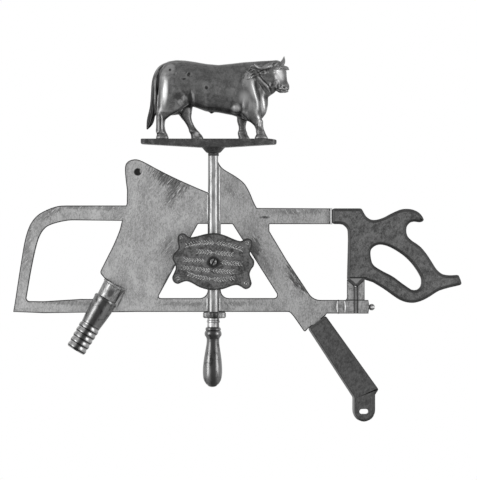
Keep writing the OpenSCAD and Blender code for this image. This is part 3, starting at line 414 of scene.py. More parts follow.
def plate_finish(name, dull, light, lean, stains_and_shadows, lines):
    """Ground plate with dark stains and painted shadows, streaked along a lean, and narrow dark
    lines.
    """
    material, at = finish(name)
    grain = at.noise((1.2, 8, 2.6), 4, 0.75, turn=4)
    drag = at.noise((1.1, 8, 15), 3, 0.7, turn=4)
    coarse = at.noise((5, 8, 6), 4, 0.7)
    cloud = at.noise((34, 30, 40), 4, 0.6, 0.4)
    streaks = at.noise((2.4, 8, 15), 4, 0.75, turn=lean)
    scratches = at.noise((1.6, 8, 15), 3, 0.7, turn=lean + 12)
    tone = 0.46 * grain + 0.14 * drag + 0.18 * coarse + 0.22 * cloud
    base = tone.rise(0.4, 0.6).tint(dull, light)
    # Stains, and the painted shadows of the plaque and of the cleaver's sleeve
    dark = spots(at, stains_and_shadows, 1.9 * (streaks - 0.5) + 1.2 * (grain - 0.5))
    dark = dark | spots(at, lines, 0.9 * (grain - 0.5))
    rim = at.mark("rim")
    # Painted shade along the edges of the faces
    edge_shade_line = (rim + 0.9 * (grain - 0.5) + 0.9 * (coarse - 0.5)).rise(0.08, 0.45)
    soft = 0.4 * (rim + 0.8 * (coarse - 0.5)).rise(0.0, 0.7)
    base = soft.tint(base, dull - 34)
    base = dark.tint(base, streaks.rise(0.4, 0.6).tint(PLATE_STAIN_AND_SHADOW_GREY, dull - 14))
    scored = scratches.rise(0.58, 0.66) * (0.2 + 0.6 * dark.rise(0.05, 0.4))
    base = scored.tint(base, light + 24)
    base = (0.95 * edge_shade_line).tint(base, PLATE_EDGE_SHADE_GREY)
    # The hole at the origin is painted dark on the front face as shade, with a painted glint on its
    # right rim
    hole = at.placed(size=(1, 1e4, 1)).reach()
    ahead = at.mm("Y").rise(PLATE_BACK_Y - 0.4, PLATE_BACK_Y - 0.8)
    base = (hole.rise(HOLE_R + 0.5, HOLE_R - 0.2) * ahead).tint(base, HOLE_SHADE_GREY)
    painted_shine = at.placed((HOLE_R - 0.4, 0, 1.2), (0, 0, 0), (1.5, 1e4, 3.2)).reach()
    base = (0.5 * painted_shine.rise(1.2, 0.5) * ahead).tint(base, HOLE_GLINT_GREY)
    surface(base, 0.42 + 0.2 * tone + 0.1 * dark, 0.6 - 0.2 * dark, tone, 0.12)
    return material


def join(pieces, name):
    """Makes one piece of many, with its place in its mesh."""
    bpy.ops.object.select_all(action="DESELECT")
    for piece in pieces:
        piece.select_set(True)
    bpy.context.view_layer.objects.active = pieces[0]
    bpy.ops.object.join()
    piece = bpy.context.object
    piece.name = name
    bpy.ops.object.transform_apply(location=True, rotation=True, scale=True)
    return piece


cleaver_finish = plate_finish("ground_cleaver", 122, 178, 32, CLEAVER_STAINS_AND_SHADOWS, CLEAVER_LINES_AND_SHADOWS)
cleaver = worn("cleaver_plate", 0.45, "cleaver_and_bow", rim=PLATE_RIM)
dress(cleaver, cleaver_finish)

knife_finish = plate_finish("ground_knife", 108, 166, -40, KNIFE_STAINS_AND_SHADOWS, KNIFE_LINES)
knife = worn("knife_plate", 0.45, "knife_and_bars", rim=PLATE_RIM)
dress(knife, knife_finish)

lip_finish, at = finish("solder_lip")
grain = at.noise((1.5, 1.5, 7), 3, 0.6)
surface(grain.rise(0.3, 0.7).tint(LIP_GREY - 55, LIP_GREY), 0.3 + 0.2 * grain, 0.85, grain, 0.05)
lips = []
for side, low, high in LIPS:
    middle = (low + high) / 2
    radius = np.interp(middle, (ROD_FOOT_Z, ROD_TOP_Z), (ROD_FOOT_R, ROD_TOP_R))
    for face in (-1, 1):
        bpy.ops.mesh.primitive_cylinder_add(
            vertices=14, radius=LIP_R * MM, depth=(high - low) * MM, end_fill_type="TRIFAN",
            location=metres((ROD_X + side * (radius + LIP_OUT), face * LIP_Y, middle)))
        lip = bpy.context.object
        trim(lip, "BEVEL", width=0.6 * MM, segments=2, limit_method="ANGLE",
             angle_limit=math.radians(60))
        lips.append(lip)
solder_lips = join(lips, "solder_lips")
bpy.ops.object.shade_smooth_by_angle(angle=math.radians(40))
dress(solder_lips, lip_finish)

# The platform is a thin iron casting with a flared boss, which a nut draws up the steel's spigot.
# Four screws hold the bull's hooves, and a small plug fills a blow hole in its front edge.
IRON_GREY = 58
IRON_WORN_GREY = 92
IRON_PIT_GREY = 34

iron, at = finish("dark_iron")
cloud = at.noise(11, 4, 0.6, 0.5)
grain = at.noise(1.7, 4, 0.65)
pits = at.scattered(3.2).rise(0.3, 0.08)
tone = 0.5 * cloud + 0.5 * grain
rubbed = tone.rise(0.5, 0.66)
base = tone.rise(0.36, 0.5).tint(IRON_PIT_GREY, IRON_GREY)
surface(rubbed.tint(base, IRON_WORN_GREY), 0.5 - 0.14 * rubbed + 0.12 * pits, 0.5,
        grain + 0.6 * cloud - 0.5 * pits, 0.16)
platform = worn("bull_platform", 0.7, "platform_casting")
dress(platform, iron)
nut = worn("boss_nut", 0.5, "hex_nut")
dress(nut, iron)
coat("platform_plug", iron)
coat("hoof_screws", iron)

# The bull is one solid casting of dark metal. Its pattern was modelled in clay from the trunk
# outwards, muscle by muscle, smoothed over and chased with creases, folds, curls of hair and
# tendons. The casting is rubbed bright on its high places, carries painted highlights and painted
# shade, and its far side is worked alike.
BULL_FOOT = (ROD_X, 0.0, 52.8)
HEAD_AT = (101.5, -8.0, 0.0)
HEAD_TURN = -40.0
NAPE_X, THROAT_Z = 84.0, 71.0
CLAY_GRAIN = 1.0
CAST_GRAIN = 0.9
BULL_GREY = 100
BULL_DARK_GREY = 40
BULL_RUBBED_GREY = 132
BULL_HIGHLIGHT_GREY = 196
TAIL_X = -90.0

lumps = []


def on_bull(place, head=False):
    """Metres in the model from millimetres at the bull's foot, or along its turned head."""
    x, y, z = place
    if head:
        turn = math.radians(HEAD_TURN)
        x, y = (HEAD_AT[0] + x * math.cos(turn) - y * math.sin(turn),
                HEAD_AT[1] + x * math.sin(turn) + y * math.cos(turn))
    return tuple((v + f) * MM for v, f in zip((x, y, z), BULL_FOOT))


def ball(place, half, head=False):
    """A stretched ball of clay."""
    bpy.ops.mesh.primitive_uv_sphere_add(
        segments=20, ring_count=12, radius=MM, location=on_bull(place, head),
        rotation=(0, 0, math.radians(HEAD_TURN) if head else 0), scale=half)
    lumps.append(bpy.context.object)


def roll(start, end, steps, head=False):
    """A muscle: clay rolled from one ball to another. An end is [x, y, z, half sizes]."""
    for step in range(steps):
        way = step / (steps - 1)
        now = [a + (b - a) * way for a, b in zip(start, end)]
        ball(now[:3], now[3:], head)


def loft(stations, turn=(0, 0, 0)):
    """A lump of clay drawn through level ovals, or through upright ones if turned."""
    lumps.append(drawn_out(stations, on_bull, 28, turn))


def drawn(name, lines, thick, order, around, along):
    """Round rolls along bent lines of [place, radius], as one mesh. Around and along set how fine."""
    curve = bpy.data.curves.new(name, "CURVE")
    curve.dimensions = "3D"
    curve.bevel_depth = thick * MM
    curve.bevel_resolution = around
    curve.use_fill_caps = True
    curve.resolution_u = along
    for path in lines:
        line = curve.splines.new("NURBS")
        line.points.add(len(path) - 1)
        line.use_endpoint_u = True
        line.order_u = order
        for point, (place, radius) in zip(line.points, path):
            point.co = (*place, 1.0)
            point.radius = radius
    piece = bpy.data.objects.new(name, curve)
    bpy.context.scene.collection.objects.link(piece)
    pick(piece)
    bpy.ops.object.convert(target="MESH")
    return bpy.context.object


def tapered(path, radii, head=False):
    """A tapered round roll of clay along a bent path."""
    places = [on_bull(place, head) for place in path]
    lumps.append(drawn("roll", [list(zip(places, radii))], 1.0, 3, 4, 6))


def knead(name, grain, smooth, passes):
    """Works all the lumps into one closed skin, and smooths it over."""
    piece = join(lumps, name)
    trim(piece, "REMESH", mode="VOXEL", voxel_size=grain * MM)
    trim(piece, "SMOOTH", factor=smooth, iterations=passes)
    lumps[:] = [piece]
    return piece


# Trunk: [x, lowest, highest, half width]
loft([((x, 0, (low + high) / 2), (1.0, wide, (high - low) / 2)) for x, low, high, wide in (
    (-88, 84, 101, 5), (-86, 70, 112, 13), (-80, 60, 120, 20), (-72, 57, 124.4, 23),
    (-60, 55, 126.4, 25), (-46, 54, 125.8, 25.6), (-30, 50.6, 123.6, 26.6),
    (-12, 43.8, 120.3, 28), (8, 42, 118.5, 28), (30, 37.8, 120.8, 27), (48, 31.5, 123, 25),
    (64, 28, 124, 21), (77, 31, 124.4, 15), (84, 40, 119, 10), (87.5, 54, 104, 5))],
     turn=(0, math.pi / 2, 0))

# Haunches, thighs, shoulders and forearms, the near one first: two balls each
for start, end in (
        ((-65, -12, 90, 22, 14, 30), (-63, -12.4, 70, 26, 13.6, 20)),
        ((-63, -12.4, 70, 26, 13.6, 20), (-77, -13.4, 46.5, 13, 10.4, 12.6)),
        ((-54, -11.4, 67, 19.6, 13.4, 18), (-64, -12, 56, 17, 12.4, 15)),
        ((-64, -12, 56, 17, 12.4, 15), (-77, -13.4, 46.5, 13, 10.4, 12.6)),
        ((-74, -8, 47, 10, 12, 10.5), (-56, 8, 50, 9, 12, 11)),
        ((-77, -14, 46, 14, 9.4, 12), (-83.9, -14, 33, 8, 6.6, 6)),
        ((-62, 12, 88, 23, 14, 30), (-50, 13, 62, 20, 12, 16)),
        ((-50, 13, 58, 18, 11, 12), (-43.4, 14, 34, 7.8, 6.6, 5)),
        ((54, -11.5, 86, 18, 15.5, 25), (58.4, -13.6, 56, 17.5, 12.5, 20)),
        ((58.4, -13.6, 56, 17.5, 12.5, 20), (62, -14, 38, 12.6, 9.6, 12)),
        ((58, -13, 46, 15.5, 10.4, 14), (70.4, -14, 25, 8.4, 7, 5)),
        ((53, 11.5, 86, 18, 15.5, 25), (51, 14, 54, 16, 12, 18)),
        ((48, 13, 46, 12.5, 10, 13), (45.2, 14, 25, 6.6, 6.8, 5))):
    roll(start, end, 9)

# Neck, throat, brisket and the fold of skin at the turn of the neck, then the sheath, the elbows
# and the back of the rump
roll((56, -1, 92, 20, 19, 31.5), (78, -4, 97, 13, 17, 28), 7)
roll((78, -4, 97, 13, 17, 28), (95, -8, 105, 11, 14, 20.5), 7)
roll((92, -7, 84, 9.5, 9, 13), (79, -4, 78, 9, 14, 16), 7)
roll((66, -1, 76, 21, 19.6, 20), (66, -1, 50, 20.6, 17, 17), 7)
roll((74, -10, 98, 7, 11.6, 8), (88, -13, 85, 5.4, 8, 6.4), 7)
ball((-3, 0, 45.4), (4.4, 3.2, 5.6))
ball((56, -5, 39), (12, 13, 11))
for side in (-1, 1):
    ball((38, 12.4 * side, 52.6), (15, 9.6, 13))
roll((-92, 0, 84, 4, 6, 22), (-93, 0, 52, 3.6, 5, 16), 5)

# Head: skull, face, muzzle and jaw, along the turned head
roll((-2, 0, 113, 12.4, 14.8, 13), (3, 0, 106, 12, 15, 11), 4, True)
roll((3, 0, 106, 12, 14.4, 10.6), (9, 0, 90, 9.4, 10.8, 9), 7, True)
roll((9, 0, 90, 9.4, 10.8, 9), (13.8, 0, 82.4, 9.2, 10.6, 8.6), 5, True)
roll((-8, 0, 95, 10.4, 12.2, 13), (9, 0, 80, 9, 9, 7.2), 6, True)
for side in (-1, 1):
    roll((3, 8.8 * side, 112, 6.4, 4.6, 5.6), (8.6, 7.4 * side, 103, 5, 4.2, 5), 4, True)
    roll((-5, 10 * side, 101, 7.4, 4, 9), (3, 8 * side, 90, 6.4, 3.4, 6.4), 5, True)
    ball((19.6, 4.8 * side, 84.2), (3.2, 3.8, 3.4), True)
ball((15.4, 0, 77), (7.4, 8, 4), True)

# Shanks and hooves: the leg's side and [z, rear, front, half width]. The hooves are added last
LEG_Y = 14.0
LEGS = (
    (-LEG_Y, ((0, -92, -70.6, 7.2), (2.5, -91.6, -71.4, 7.2), (6, -90.6, -72.6, 6.5),
              (8, -90.4, -73.6, 5.6), (11, -92.4, -75.6, 6.2), (15, -92, -76.6, 5),
              (22, -91.6, -77.4, 4.9), (30, -91.6, -76.4, 5.6), (40, -91, -73, 7))),
    (LEG_Y, ((0, -36, -15.2, 7.2), (2.5, -36, -16, 7.2), (6, -36.4, -18, 6.5),
             (8.5, -37.2, -20.6, 5.6), (12, -39.6, -22.8, 6.2), (16, -40.2, -27, 5),
             (22, -43, -31, 5), (29, -47.6, -34, 5.8), (40, -54, -36.4, 7.6))),
    (-LEG_Y, ((0, 65.4, 88, 7.2), (2.5, 66, 87, 7.2), (6, 68, 85, 6.4), (8, 68.6, 83.4, 5.6),
              (10.5, 67.6, 83, 6.2), (15, 67.6, 80.6, 5.2), (21, 64.8, 79.6, 6.2),
              (30, 61, 79.6, 7.6))),
    (LEG_Y, ((0, 39.8, 59, 7.2), (2.5, 40.2, 58, 7.2), (6, 39.2, 55.6, 6.4),
             (8, 38.8, 54.4, 5.6), (10.5, 38.2, 54.4, 6.2), (15, 40.4, 52.2, 5),
             (21, 40, 51.8, 6), (30, 37, 54, 7.4))))


def leg_part(side, stations, low, high):
    """The part of a leg between two heights."""
    loft([(((rear + front) / 2, side, z), ((front - rear) / 2, wide, 1.0))
          for z, rear, front, wide in stations if low <= z <= high])


for side, stations in LEGS:
    leg_part(side, stations, 6, 50)
knead("clay", CLAY_GRAIN, smooth=0.6, passes=12)
for side, stations in LEGS:
    leg_part(side, stations, 0, 10)

# Tail with its switch of hair, horns and ears
tapered(
    ((-66, 0, 121.6), (-80, 0, 117.4), (-89.5, 0, 108), (-95.2, 0, 93), (-96.8, 0, 72),
     (-97.4, 0, 54), (-98, 0, 44), (-100, 0, 32), (-103, 0, 22), (-106.6, 0, 15)),
    (3.6, 4.4, 4.2, 3.8, 3.4, 4, 5.4, 6.4, 4.8, 0.8))
tapered(
    ((-1, -8, 117.4), (-3, -18, 115.6), (-8, -26, 112.6), (-15, -31.4, 114), (-20.6, -33.6, 120)),
    (5.4, 4.8, 4, 2.9, 0.5), True)
tapered(
    ((-1, 8, 117), (-2.6, 17, 121), (-5.5, 24, 127), (-7.2, 27, 133.4)),
    (5.2, 4.4, 2.9, 0.5), True)
for start, end in (((-1, -12, 107, 4, 4, 3.4), (-8, -22, 105.4, 4.2, 3, 4.6)),
                   ((-8, -22, 105.4, 4.2, 3, 4.6), (-14.4, -29.6, 103.4, 1.2, 1, 1.2)),
                   ((0, 12, 115, 3.4, 4, 3.2), (1.2, 22, 113.6, 2.8, 4.4, 3.6)),
                   ((1.2, 22, 113.6, 2.8, 4.4, 3.6), (2, 30, 112, 1, 1.4, 1.2))):
    roll(start, end, 4, True)
bull = knead("bull_figure", CAST_GRAIN, smooth=0.5, passes=2)

# The head and the legs are worked on a finer skin than the rest
head_x, _, head_z = on_bull((70, 0, 72))
leg_z = on_bull((0, 0, 42))[2]
select_faces(bull, lambda face: face.center.z < leg_z or (
    face.center.x > head_x and face.center.z > head_z))
bpy.ops.mesh.subdivide(number_cuts=1, smoothness=0.9)
bpy.ops.mesh.select_all(action="SELECT")
bpy.ops.mesh.bisect(plane_co=on_bull((0, 0, 0.05)), plane_no=(0, 0, 1), clear_inner=True,
                    use_fill=True)
bpy.ops.object.mode_set(mode="OBJECT")


class Skin:
    """The bull's skin under the chaser's tools. The far half is worked as the near half is."""

    def __init__(self, piece):
        self.piece = piece
        self.place = self.read("co") / MM - BULL_FOOT
        self.look()

    def read(self, what):
        """Three numbers of each point of the mesh."""
        values = np.empty(len(self.piece.data.vertices) * 3, dtype=np.float32)
        self.piece.data.vertices.foreach_get(what, values)
        return values.reshape(-1, 3)

    def look(self):
        """Reads the normals again, and where each point is seen from the side."""
        mesh = self.piece.data
        moved = ((self.place + BULL_FOOT) * MM).astype(np.float32).ravel()
        mesh.vertices.foreach_set("co", moved)
        mesh.update()
        self.normal = self.read("normal")
        turn = math.radians(HEAD_TURN)
        beside = np.array((-math.sin(turn), math.cos(turn), 0))
        aside = (self.place - HEAD_AT) @ beside
        self.head = (self.place[:, 0] > NAPE_X) & (self.place[:, 2] > THROAT_Z)
        flipped = self.place - 2 * np.outer(np.maximum(aside, 0), beside)
        turned = self.normal - 2 * np.outer(self.normal @ beside, beside) * (aside > 0)[:, None]
        self.seen = np.where(self.head, flipped[:, 0], self.place[:, 0])
        self.faces = np.where(self.head, -turned[:, 1],
                              -self.normal[:, 1] * np.where(self.place[:, 1] > 0, -1, 1))

    def near(self, line):
        """How far each point is from a line of [x, z] seen from the side, and the line's taper."""
        spot = np.stack((self.seen, self.place[:, 2]), 1)
        line = np.array(line, float)
        if len(line) == 1:
            return np.hypot(*(spot - line[0]).T), 1.0
        best = np.full(len(spot), 1e9)
        done = np.zeros(len(spot))
        for step, (start, end) in enumerate(zip(line, line[1:])):
            run = end - start
            way = np.clip((spot - start) @ run / (run @ run), 0, 1)
            away = np.hypot(*(spot - start - way[:, None] * run).T)
            done = np.where(away < best, (step + way) / (len(line) - 1), done)
            best = np.minimum(best, away)
        return best, 1 - 0.7 * np.abs(2 * done - 1) ** 3

    def chase(self, marks, skew=0.15):
        """Raises the skin along lines, or cuts it where high is negative. A mark is [line, wide,
        high], and its line is of [x, z] from the bull's foot, seen from the side."""
        for line, wide, high in marks:
            away, taper = self.near(line)
            weight = taper * np.exp(-(away / wide) ** 2) * np.clip(self.faces + skew, 0, 1)
            self.place += self.normal * (high * weight)[:, None]


skin = Skin(bull)

# Folds and hollows of the trunk, with the pits of the casting
skin.chase((
    (((-36.8, 78.4), (-37.1, 67.2), (-37.4, 56), (-40, 48)), 2.6, -1.5),
    (((-43.8, 72), (-42.2, 54.4)), 5.0, -1.2), (((-31.7, 72), (-31, 54.4)), 2.6, 0.8),
    (((-39, 51.2), (-48.6, 48), (-59.8, 41.6)), 1.8, -0.9),
    (((-64.6, 74.4), (-57.4, 70.4), (-51.8, 70.4)), 6.0, -1.0),
    (((-50.2, 60.8), (-56.6, 56)), 6.0, 0.7), (((-59.8, 107.2), (-53.4, 104)), 8.0, 0.7),
    (((-89.6, 91.2), (-87.7, 68.8), (-88.6, 46.4)), 2.4, -1.6),
    (((-21.4, 91.2), (-16.6, 59.2)), 3.4, -0.4), (((-3.8, 94.4), (1, 56)), 3.4, -0.4),
    (((13.8, 94.4), (17, 56)), 3.4, -0.4), (((41, 94.4), (38.7, 75.2), (34.6, 59.2)), 4.0, -0.7),
    (((-48, 95),), 1.3, -1.0), (((-50.6, 95.7),), 0.9, -0.6),
    (((-37.4, 104), (-39.7, 99.2)), 1.2, -1.1), (((-42.6, 107.2), (-44.5, 103)), 0.9, -0.7),
    (((-69, 109.8),), 1.7, -0.9), (((-10.9, 81.1),), 2.0, -0.8), (((-46.1, 116.8),), 1.0, -0.4),
    (((-3.2, 42.2), (1.6, 45.4)), 1.6, -0.5)))
HAUNCH_CREASE = ((-95.7, 94.4), (-88.6, 109.8), (-79, 118.7), (-67.8, 122.9), (-51.8, 123.8))
skin.chase(((HAUNCH_CREASE, 1.1, -0.8),), skew=0.6)
skin.look()

# Shoulder, neck and brisket
skin.chase((
    (((33.6, 54.4), (40.3, 44.8)), 3.6, 0.7), (((29.1, 56), (29.8, 41.6)), 3.5, -0.5),
    (((44.2, 43.2), (40, 36.8)), 2.0, -0.7),
    (((68.2, 118.1), (76.2, 115.8), (84.2, 119.4)), 1.5, -1.8),
    (((60.2, 89.6), (65, 73.6), (70.4, 59.2), (73, 43.2)), 3.0, 0.8),
    (((67.4, 91.2), (71, 75.2), (75.5, 60.8), (79, 46.4), (79, 36.8)), 1.5, -1.5),
    (((77.4, 75.2), (81, 60.8), (82.6, 46.4)), 2.4, 0.9),
    (((73.8, 99.2), (78.6, 91.2), (85.8, 81.6), (89, 76.8)), 3.0, 1.6),
    (((70.7, 108), (73.9, 100.8), (79.4, 93.4), (87.4, 85.8), (91.8, 78.4), (92.8, 72)),
     1.5, -2.0), (((71.4, 91.2), (77.8, 81.6), (83.5, 72)), 1.5, -0.7),
    (((52.2, 78.4), (53.8, 56), (52.2, 40)), 3.4, -0.6)))

# The face is planed flat on each side of its ridge, from the brow to the muzzle
FACE_TURN, FACE_PLANE, FACE_LOW_Z = 22.0, 0.9, 79.0
FACE_HEIGHTS = (78, 86, 96, 106, 114, 120)
FACE_REACHES = (21.4, 20.2, 16.6, 13.2, 11.2, 30)
turn = math.radians(HEAD_TURN)
for side in (-1, 1):
    lean = turn + side * math.radians(FACE_TURN)
    ahead = np.array((math.cos(lean), math.sin(lean), 0.0))
    reach = (skin.place - HEAD_AT) @ ahead
    z = skin.place[:, 2]
    limit = np.interp(z, FACE_HEIGHTS, FACE_REACHES)
    over = np.clip(reach - limit, 0, None) * (skin.head & (z > FACE_LOW_Z))
    skin.place -= (FACE_PLANE * over)[:, None] * ahead
skin.look()

# Curls of hair on the neck and forehead: a raised lock with a cut under it
LOCK_WIDE, LOCK_HIGH, LOCK_CUT = 0.8, 0.5, -0.7
UNDER_LOCK = (0.64, -1.6)
for line in (
        ((58.2, 113.9), (61.1, 116.5), (65, 116.2)), ((55.4, 109.1), (57.9, 112), (61.4, 112.3)),
        ((60.2, 107.8), (63.4, 110.4), (66.9, 109.8)), ((53.4, 100.8), (54.7, 105), (52.2, 108.8)),
        ((58.9, 101.8), (62.4, 104.6), (66.6, 105.3)), ((59.8, 97.3), (64, 100.2), (68.2, 100.5)),
        ((47.4, 97.6), (48.3, 101.8), (46.4, 105.6)), ((52.8, 95.7), (56.3, 96.6), (58.6, 99.5)),
        ((93.1, 119), (95.4, 121.9), (99.2, 121.9)),
        ((101.8, 121), (104.6, 123.8), (108.2, 122.9)),
        ((107.5, 115.8), (109.1, 119), (112.3, 120)),
        ((104.6, 111.4), (107.2, 113.9), (109.8, 113.6)),
        ((111.4, 112.6), (113.6, 115.2), (113.3, 118.4)),
        ((98.2, 117.4), (101.1, 120), (104.3, 119.4))):
    under = [(x + UNDER_LOCK[0], z + UNDER_LOCK[1]) for x, z in line]
    skin.chase(((line, LOCK_WIDE, LOCK_HIGH), (under, LOCK_WIDE, LOCK_CUT)))
skin.look()

# Head: the eye's hollow, brow, cheekbone, jaw, mouth and the hollow of the ear, and then the
# eyeball and the nostril
EYE = ((100.6, 113),)
skin.chase((
    (EYE, 2.3, -1.7), (((95.4, 115.2), (99.5, 117.8), (105, 116.5)), 1.3, 0.8),
    (((96.3, 109.8), (100.8, 108.5), (105, 109.8)), 1.0, 0.7),
    (((97, 106.2), (101.8, 104.6)), 2.2, 0.7), (((100.2, 94.4), (103.7, 84.8)), 3.0, -1.0),
    (((85.1, 99.2), (89, 91.2)), 4.4, 1.0), (((114.6, 82.9), (117.1, 80.6)), 1.3, 0.9),
    (((99.2, 79.4), (105, 77.1), (113, 76.8), (121, 78.4)), 0.8, -1.5),
    (((103.4, 80), (111.4, 78.7)), 1.2, 0.6), (((103.4, 74.6), (114.6, 74.2)), 1.2, 0.5),
    (((108.2, 87), (106.6, 81.6)), 1.4, -0.9), (((75.5, 104.6), (81.9, 105.9)), 1.2, -1.2)))
skin.look()
skin.chase(((EYE, 1.3, 1.9), (((113.6, 80.3), (111.4, 82.6)), 0.9, -2.0)))
skin.look()

# Tendons, fetlocks and hooves, and the locks of the tail
skin.chase((
    (((-88, 38.4), (-87.4, 11.2)), 1.3, 0.9), (((-84.6, 38.4), (-85, 11.2)), 1.1, -1.6),
    (((-81.8, 36.8), (-81.8, 11.2)), 1.2, 0.8), (((-78.4, 33.6), (-78.7, 11.2)), 1.0, -1.1),
    (((-89.6, 9.9),), 1.4, 1.0), (((-80.6, 10.2),), 1.6, 0.6),
    (((-93.4, 6.1), (-71.7, 6.1)), 0.7, -0.6), (((-93.4, 7.7), (-76.5, 7.7)), 0.9, -0.4),
    (((-50.9, 40.6), (-42.6, 28.8), (-36.8, 14.4)), 1.2, 0.7),
    (((-44.8, 40.6), (-39.4, 28.8), (-33.3, 14.4)), 1.1, -1.3),
    (((-39.7, 43.2), (-37.4, 32), (-32.6, 22.4), (-25.3, 12.8)), 1.2, 0.7),
    (((-35.8, 24), (-29.4, 14.4), (-26.2, 9.6)), 1.0, -0.7),
    (((-36.8, 10.2), (-31.7, 7.7)), 1.0, -0.8), (((-36.5, 4.8), (-16.6, 6.1)), 0.7, -0.6),
    (((-21.4, 9.6), (-18.9, 5.8)), 1.6, 0.8), (((70.1, 30.4), (70.4, 11.2)), 1.3, -1.0),
    (((76.8, 30.4), (79.4, 12.8)), 1.6, 0.7), (((73.6, 20.8),), 2.0, 0.6),
    (((65.9, 6.7), (87.4, 6.1)), 0.7, -0.6), (((44.8, 28.8), (44.8, 11.2)), 1.2, -1.0),
    (((49, 27.2), (48.3, 12.8)), 1.3, 0.5), (((37.8, 6.7), (58.6, 6.1)), 0.7, -0.6),
    (((-97.6, 62.4), (-98.9, 43.2), (-102.1, 27.2), (-105, 19.2)), 0.8, -0.8),
    (((-93.8, 49.6), (-95.4, 36.8), (-99.8, 24)), 0.8, -0.8),
    (((-100.8, 43.2), (-103.4, 28.8)), 0.7, -0.7), (((-97.3, 33.6), (-101.4, 20.8)), 0.7, -0.7)))
CLEFT_WIDE, CLEFT_DEEP, CLEFT_TOP_Z = 0.8, 1.6, 7.0
toes = (np.abs(skin.place[:, 1]) - LEG_Y) / CLEFT_WIDE
cleft = np.exp(-toes ** 2) * (skin.place[:, 2] < CLEFT_TOP_Z) * np.clip(skin.normal[:, 0], 0, 1)
skin.place -= skin.normal * (CLEFT_DEEP * cleft)[:, None]
skin.place[:, 2] = np.maximum(skin.place[:, 2], 0.0)
skin.look()

# How hollow the skin is at each point, for the dark of the creases and the rub of the ridges:
# how far it lies from a copy that is evened out, after a few, some and many rounds
EVEN_ROUNDS = (6, 20, 60)
edges = np.empty(len(bull.data.edges) * 2, dtype=np.int64)
bull.data.edges.foreach_get("vertices", edges)
one, other = edges.reshape(-1, 2).T
links = np.bincount(edges, minlength=len(skin.place))
even = skin.place.copy()
hollow = np.zeros(len(even))
for step in range(max(EVEN_ROUNDS)):
    total = np.stack([np.bincount(one, even[other, k], len(even))
                      + np.bincount(other, even[one, k], len(even)) for k in range(3)], 1)
    even = total / links[:, None]
    if step + 1 in EVEN_ROUNDS:
        hollow += ((even - skin.place) * skin.normal).sum(1)
bull.data.attributes.new("hollow", "FLOAT", "POINT").data.foreach_set("value", hollow)
pick(bull)
bpy.ops.object.shade_smooth()
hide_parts(*(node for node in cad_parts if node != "bull_platform"
                    and node.startswith(("bull_", "hind_leg", "fore_leg"))))

# Painted highlights, and darker places: casting pits and painted shade. Each [x, z, wide, high, turn,
# weight]
BULL_PAINTED_HIGHLIGHTS = (
    (44.4, 126.4, 4.2, 22, 4, 1.0), (156.8, 103.2, 7, 7, 0, 0.25), (184.4, 128, 6, 17, -24, 0.35),
    (199.6, 107.2, 3.6, 17, -6, 0.7), (194, 81.6, 2.6, 10, -8, 0.7), (226, 154, 8, 12, -14, 0.9),
    (94.8, 60.8, 5, 4, 0, 0.6), (170, 118, 9, 12, 0, 0.3))
BULL_PITS_AND_SHADE = (
    (64.4, 120.8, 9, 6, 0, 0.5), (74.8, 113.6, 7, 8, 0, 0.6), (81.2, 155.2, 2.2, 4, 30, 0.9),
    (74.3, 147.8, 3.6, 1.4, -8, 0.9), (110.1, 133.9, 2.8, 2.8, 0, 0.8), (52, 162.6, 2, 2, 0, 0.8),
    (140, 88, 30, 4, 12, 0.4), (152, 108, 6, 6, 0, 0.35))

bull_finish, at = finish("rubbed_casting")
cloud = at.noise(9, 4, 0.6, 0.6)
grain = at.noise(1.4, 3, 0.6)
tone = 0.55 * cloud + 0.45 * grain
creased = at.mark("hollow")
# Darker in the creases: grime, and painted shade
crease_grime_and_shade = (creased + 0.5 * (cloud - 0.5)).rise(0.2, 1.3)
rubbed = (0.0 - creased + 0.7 * (tone - 0.5)).rise(0.3, 1.3)
# The tail is painted darker as shade
tail = (at.mm("X") - ROD_X + 6 * (cloud - 0.5)).rise(TAIL_X, TAIL_X - 6)
colour = tone.rise(0.34, 0.64).tint(BULL_GREY - 30, BULL_GREY)
colour = rubbed.tint(colour, BULL_RUBBED_GREY)
colour = (0.85 * tail).tint(colour, BULL_DARK_GREY - 6)
colour = crease_grime_and_shade.tint(colour, BULL_DARK_GREY)
# Painted highlights
painted_highlight = spots(at, BULL_PAINTED_HIGHLIGHTS, 1.1 * (tone - 0.5), 0.2)
colour = painted_highlight.tint(colour, BULL_HIGHLIGHT_GREY)
# Darker places: pits of the casting, and painted shade on the thigh
darkened = spots(at, BULL_PITS_AND_SHADE, 1.1 * (tone - 0.5))
colour = darkened.tint(colour, BULL_DARK_GREY - 12)
surface(colour, 0.34 + 0.12 * cloud + 0.2 * crease_grime_and_shade, 0.9 - 0.4 * crease_grime_and_shade, tone, 0.1)
dress(bull, bull_finish)

# The cleaver's ferrule is a bright sleeve, split where the blade passes through it, and its grip is
# turned, dark and glossy, with five ribs at its end. The grooves between the ribs are painted dark as
# shade, and the ribs' sides carry a painted highlight.
GRIP_LEAN = 31.0
GRIP_END_R, GRIP_END_ROUND = 17.0, 0.9
GRIP_RIB_HIGHLIGHT_GREY = 190
RIB_PITCH, RIB_COUNT = 9.0, 5
RIB_GROOVE_SHADE_GREY = 26
SLEEVE_GREY = 152
SLEEVE_GRAIN_GREY = 100
SLEEVE_STAIN_GREY = 62
SLEEVE_STAINS = ((-42.9, -192.8, 5.5, 8, 25, 0.85), (-31.5, -199.8, 1.4, 13, 25, 0.9))

# The middle of the grip's end, from the corner of its box
grip_corner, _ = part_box("cleaver_grip")
lean = math.radians(GRIP_LEAN)
grip_end = (grip_corner[0] / MM + GRIP_END_R * math.cos(lean) - GRIP_END_ROUND * math.sin(lean), 0,
            grip_corner[2] / MM + GRIP_END_R * math.sin(lean) + GRIP_END_ROUND)

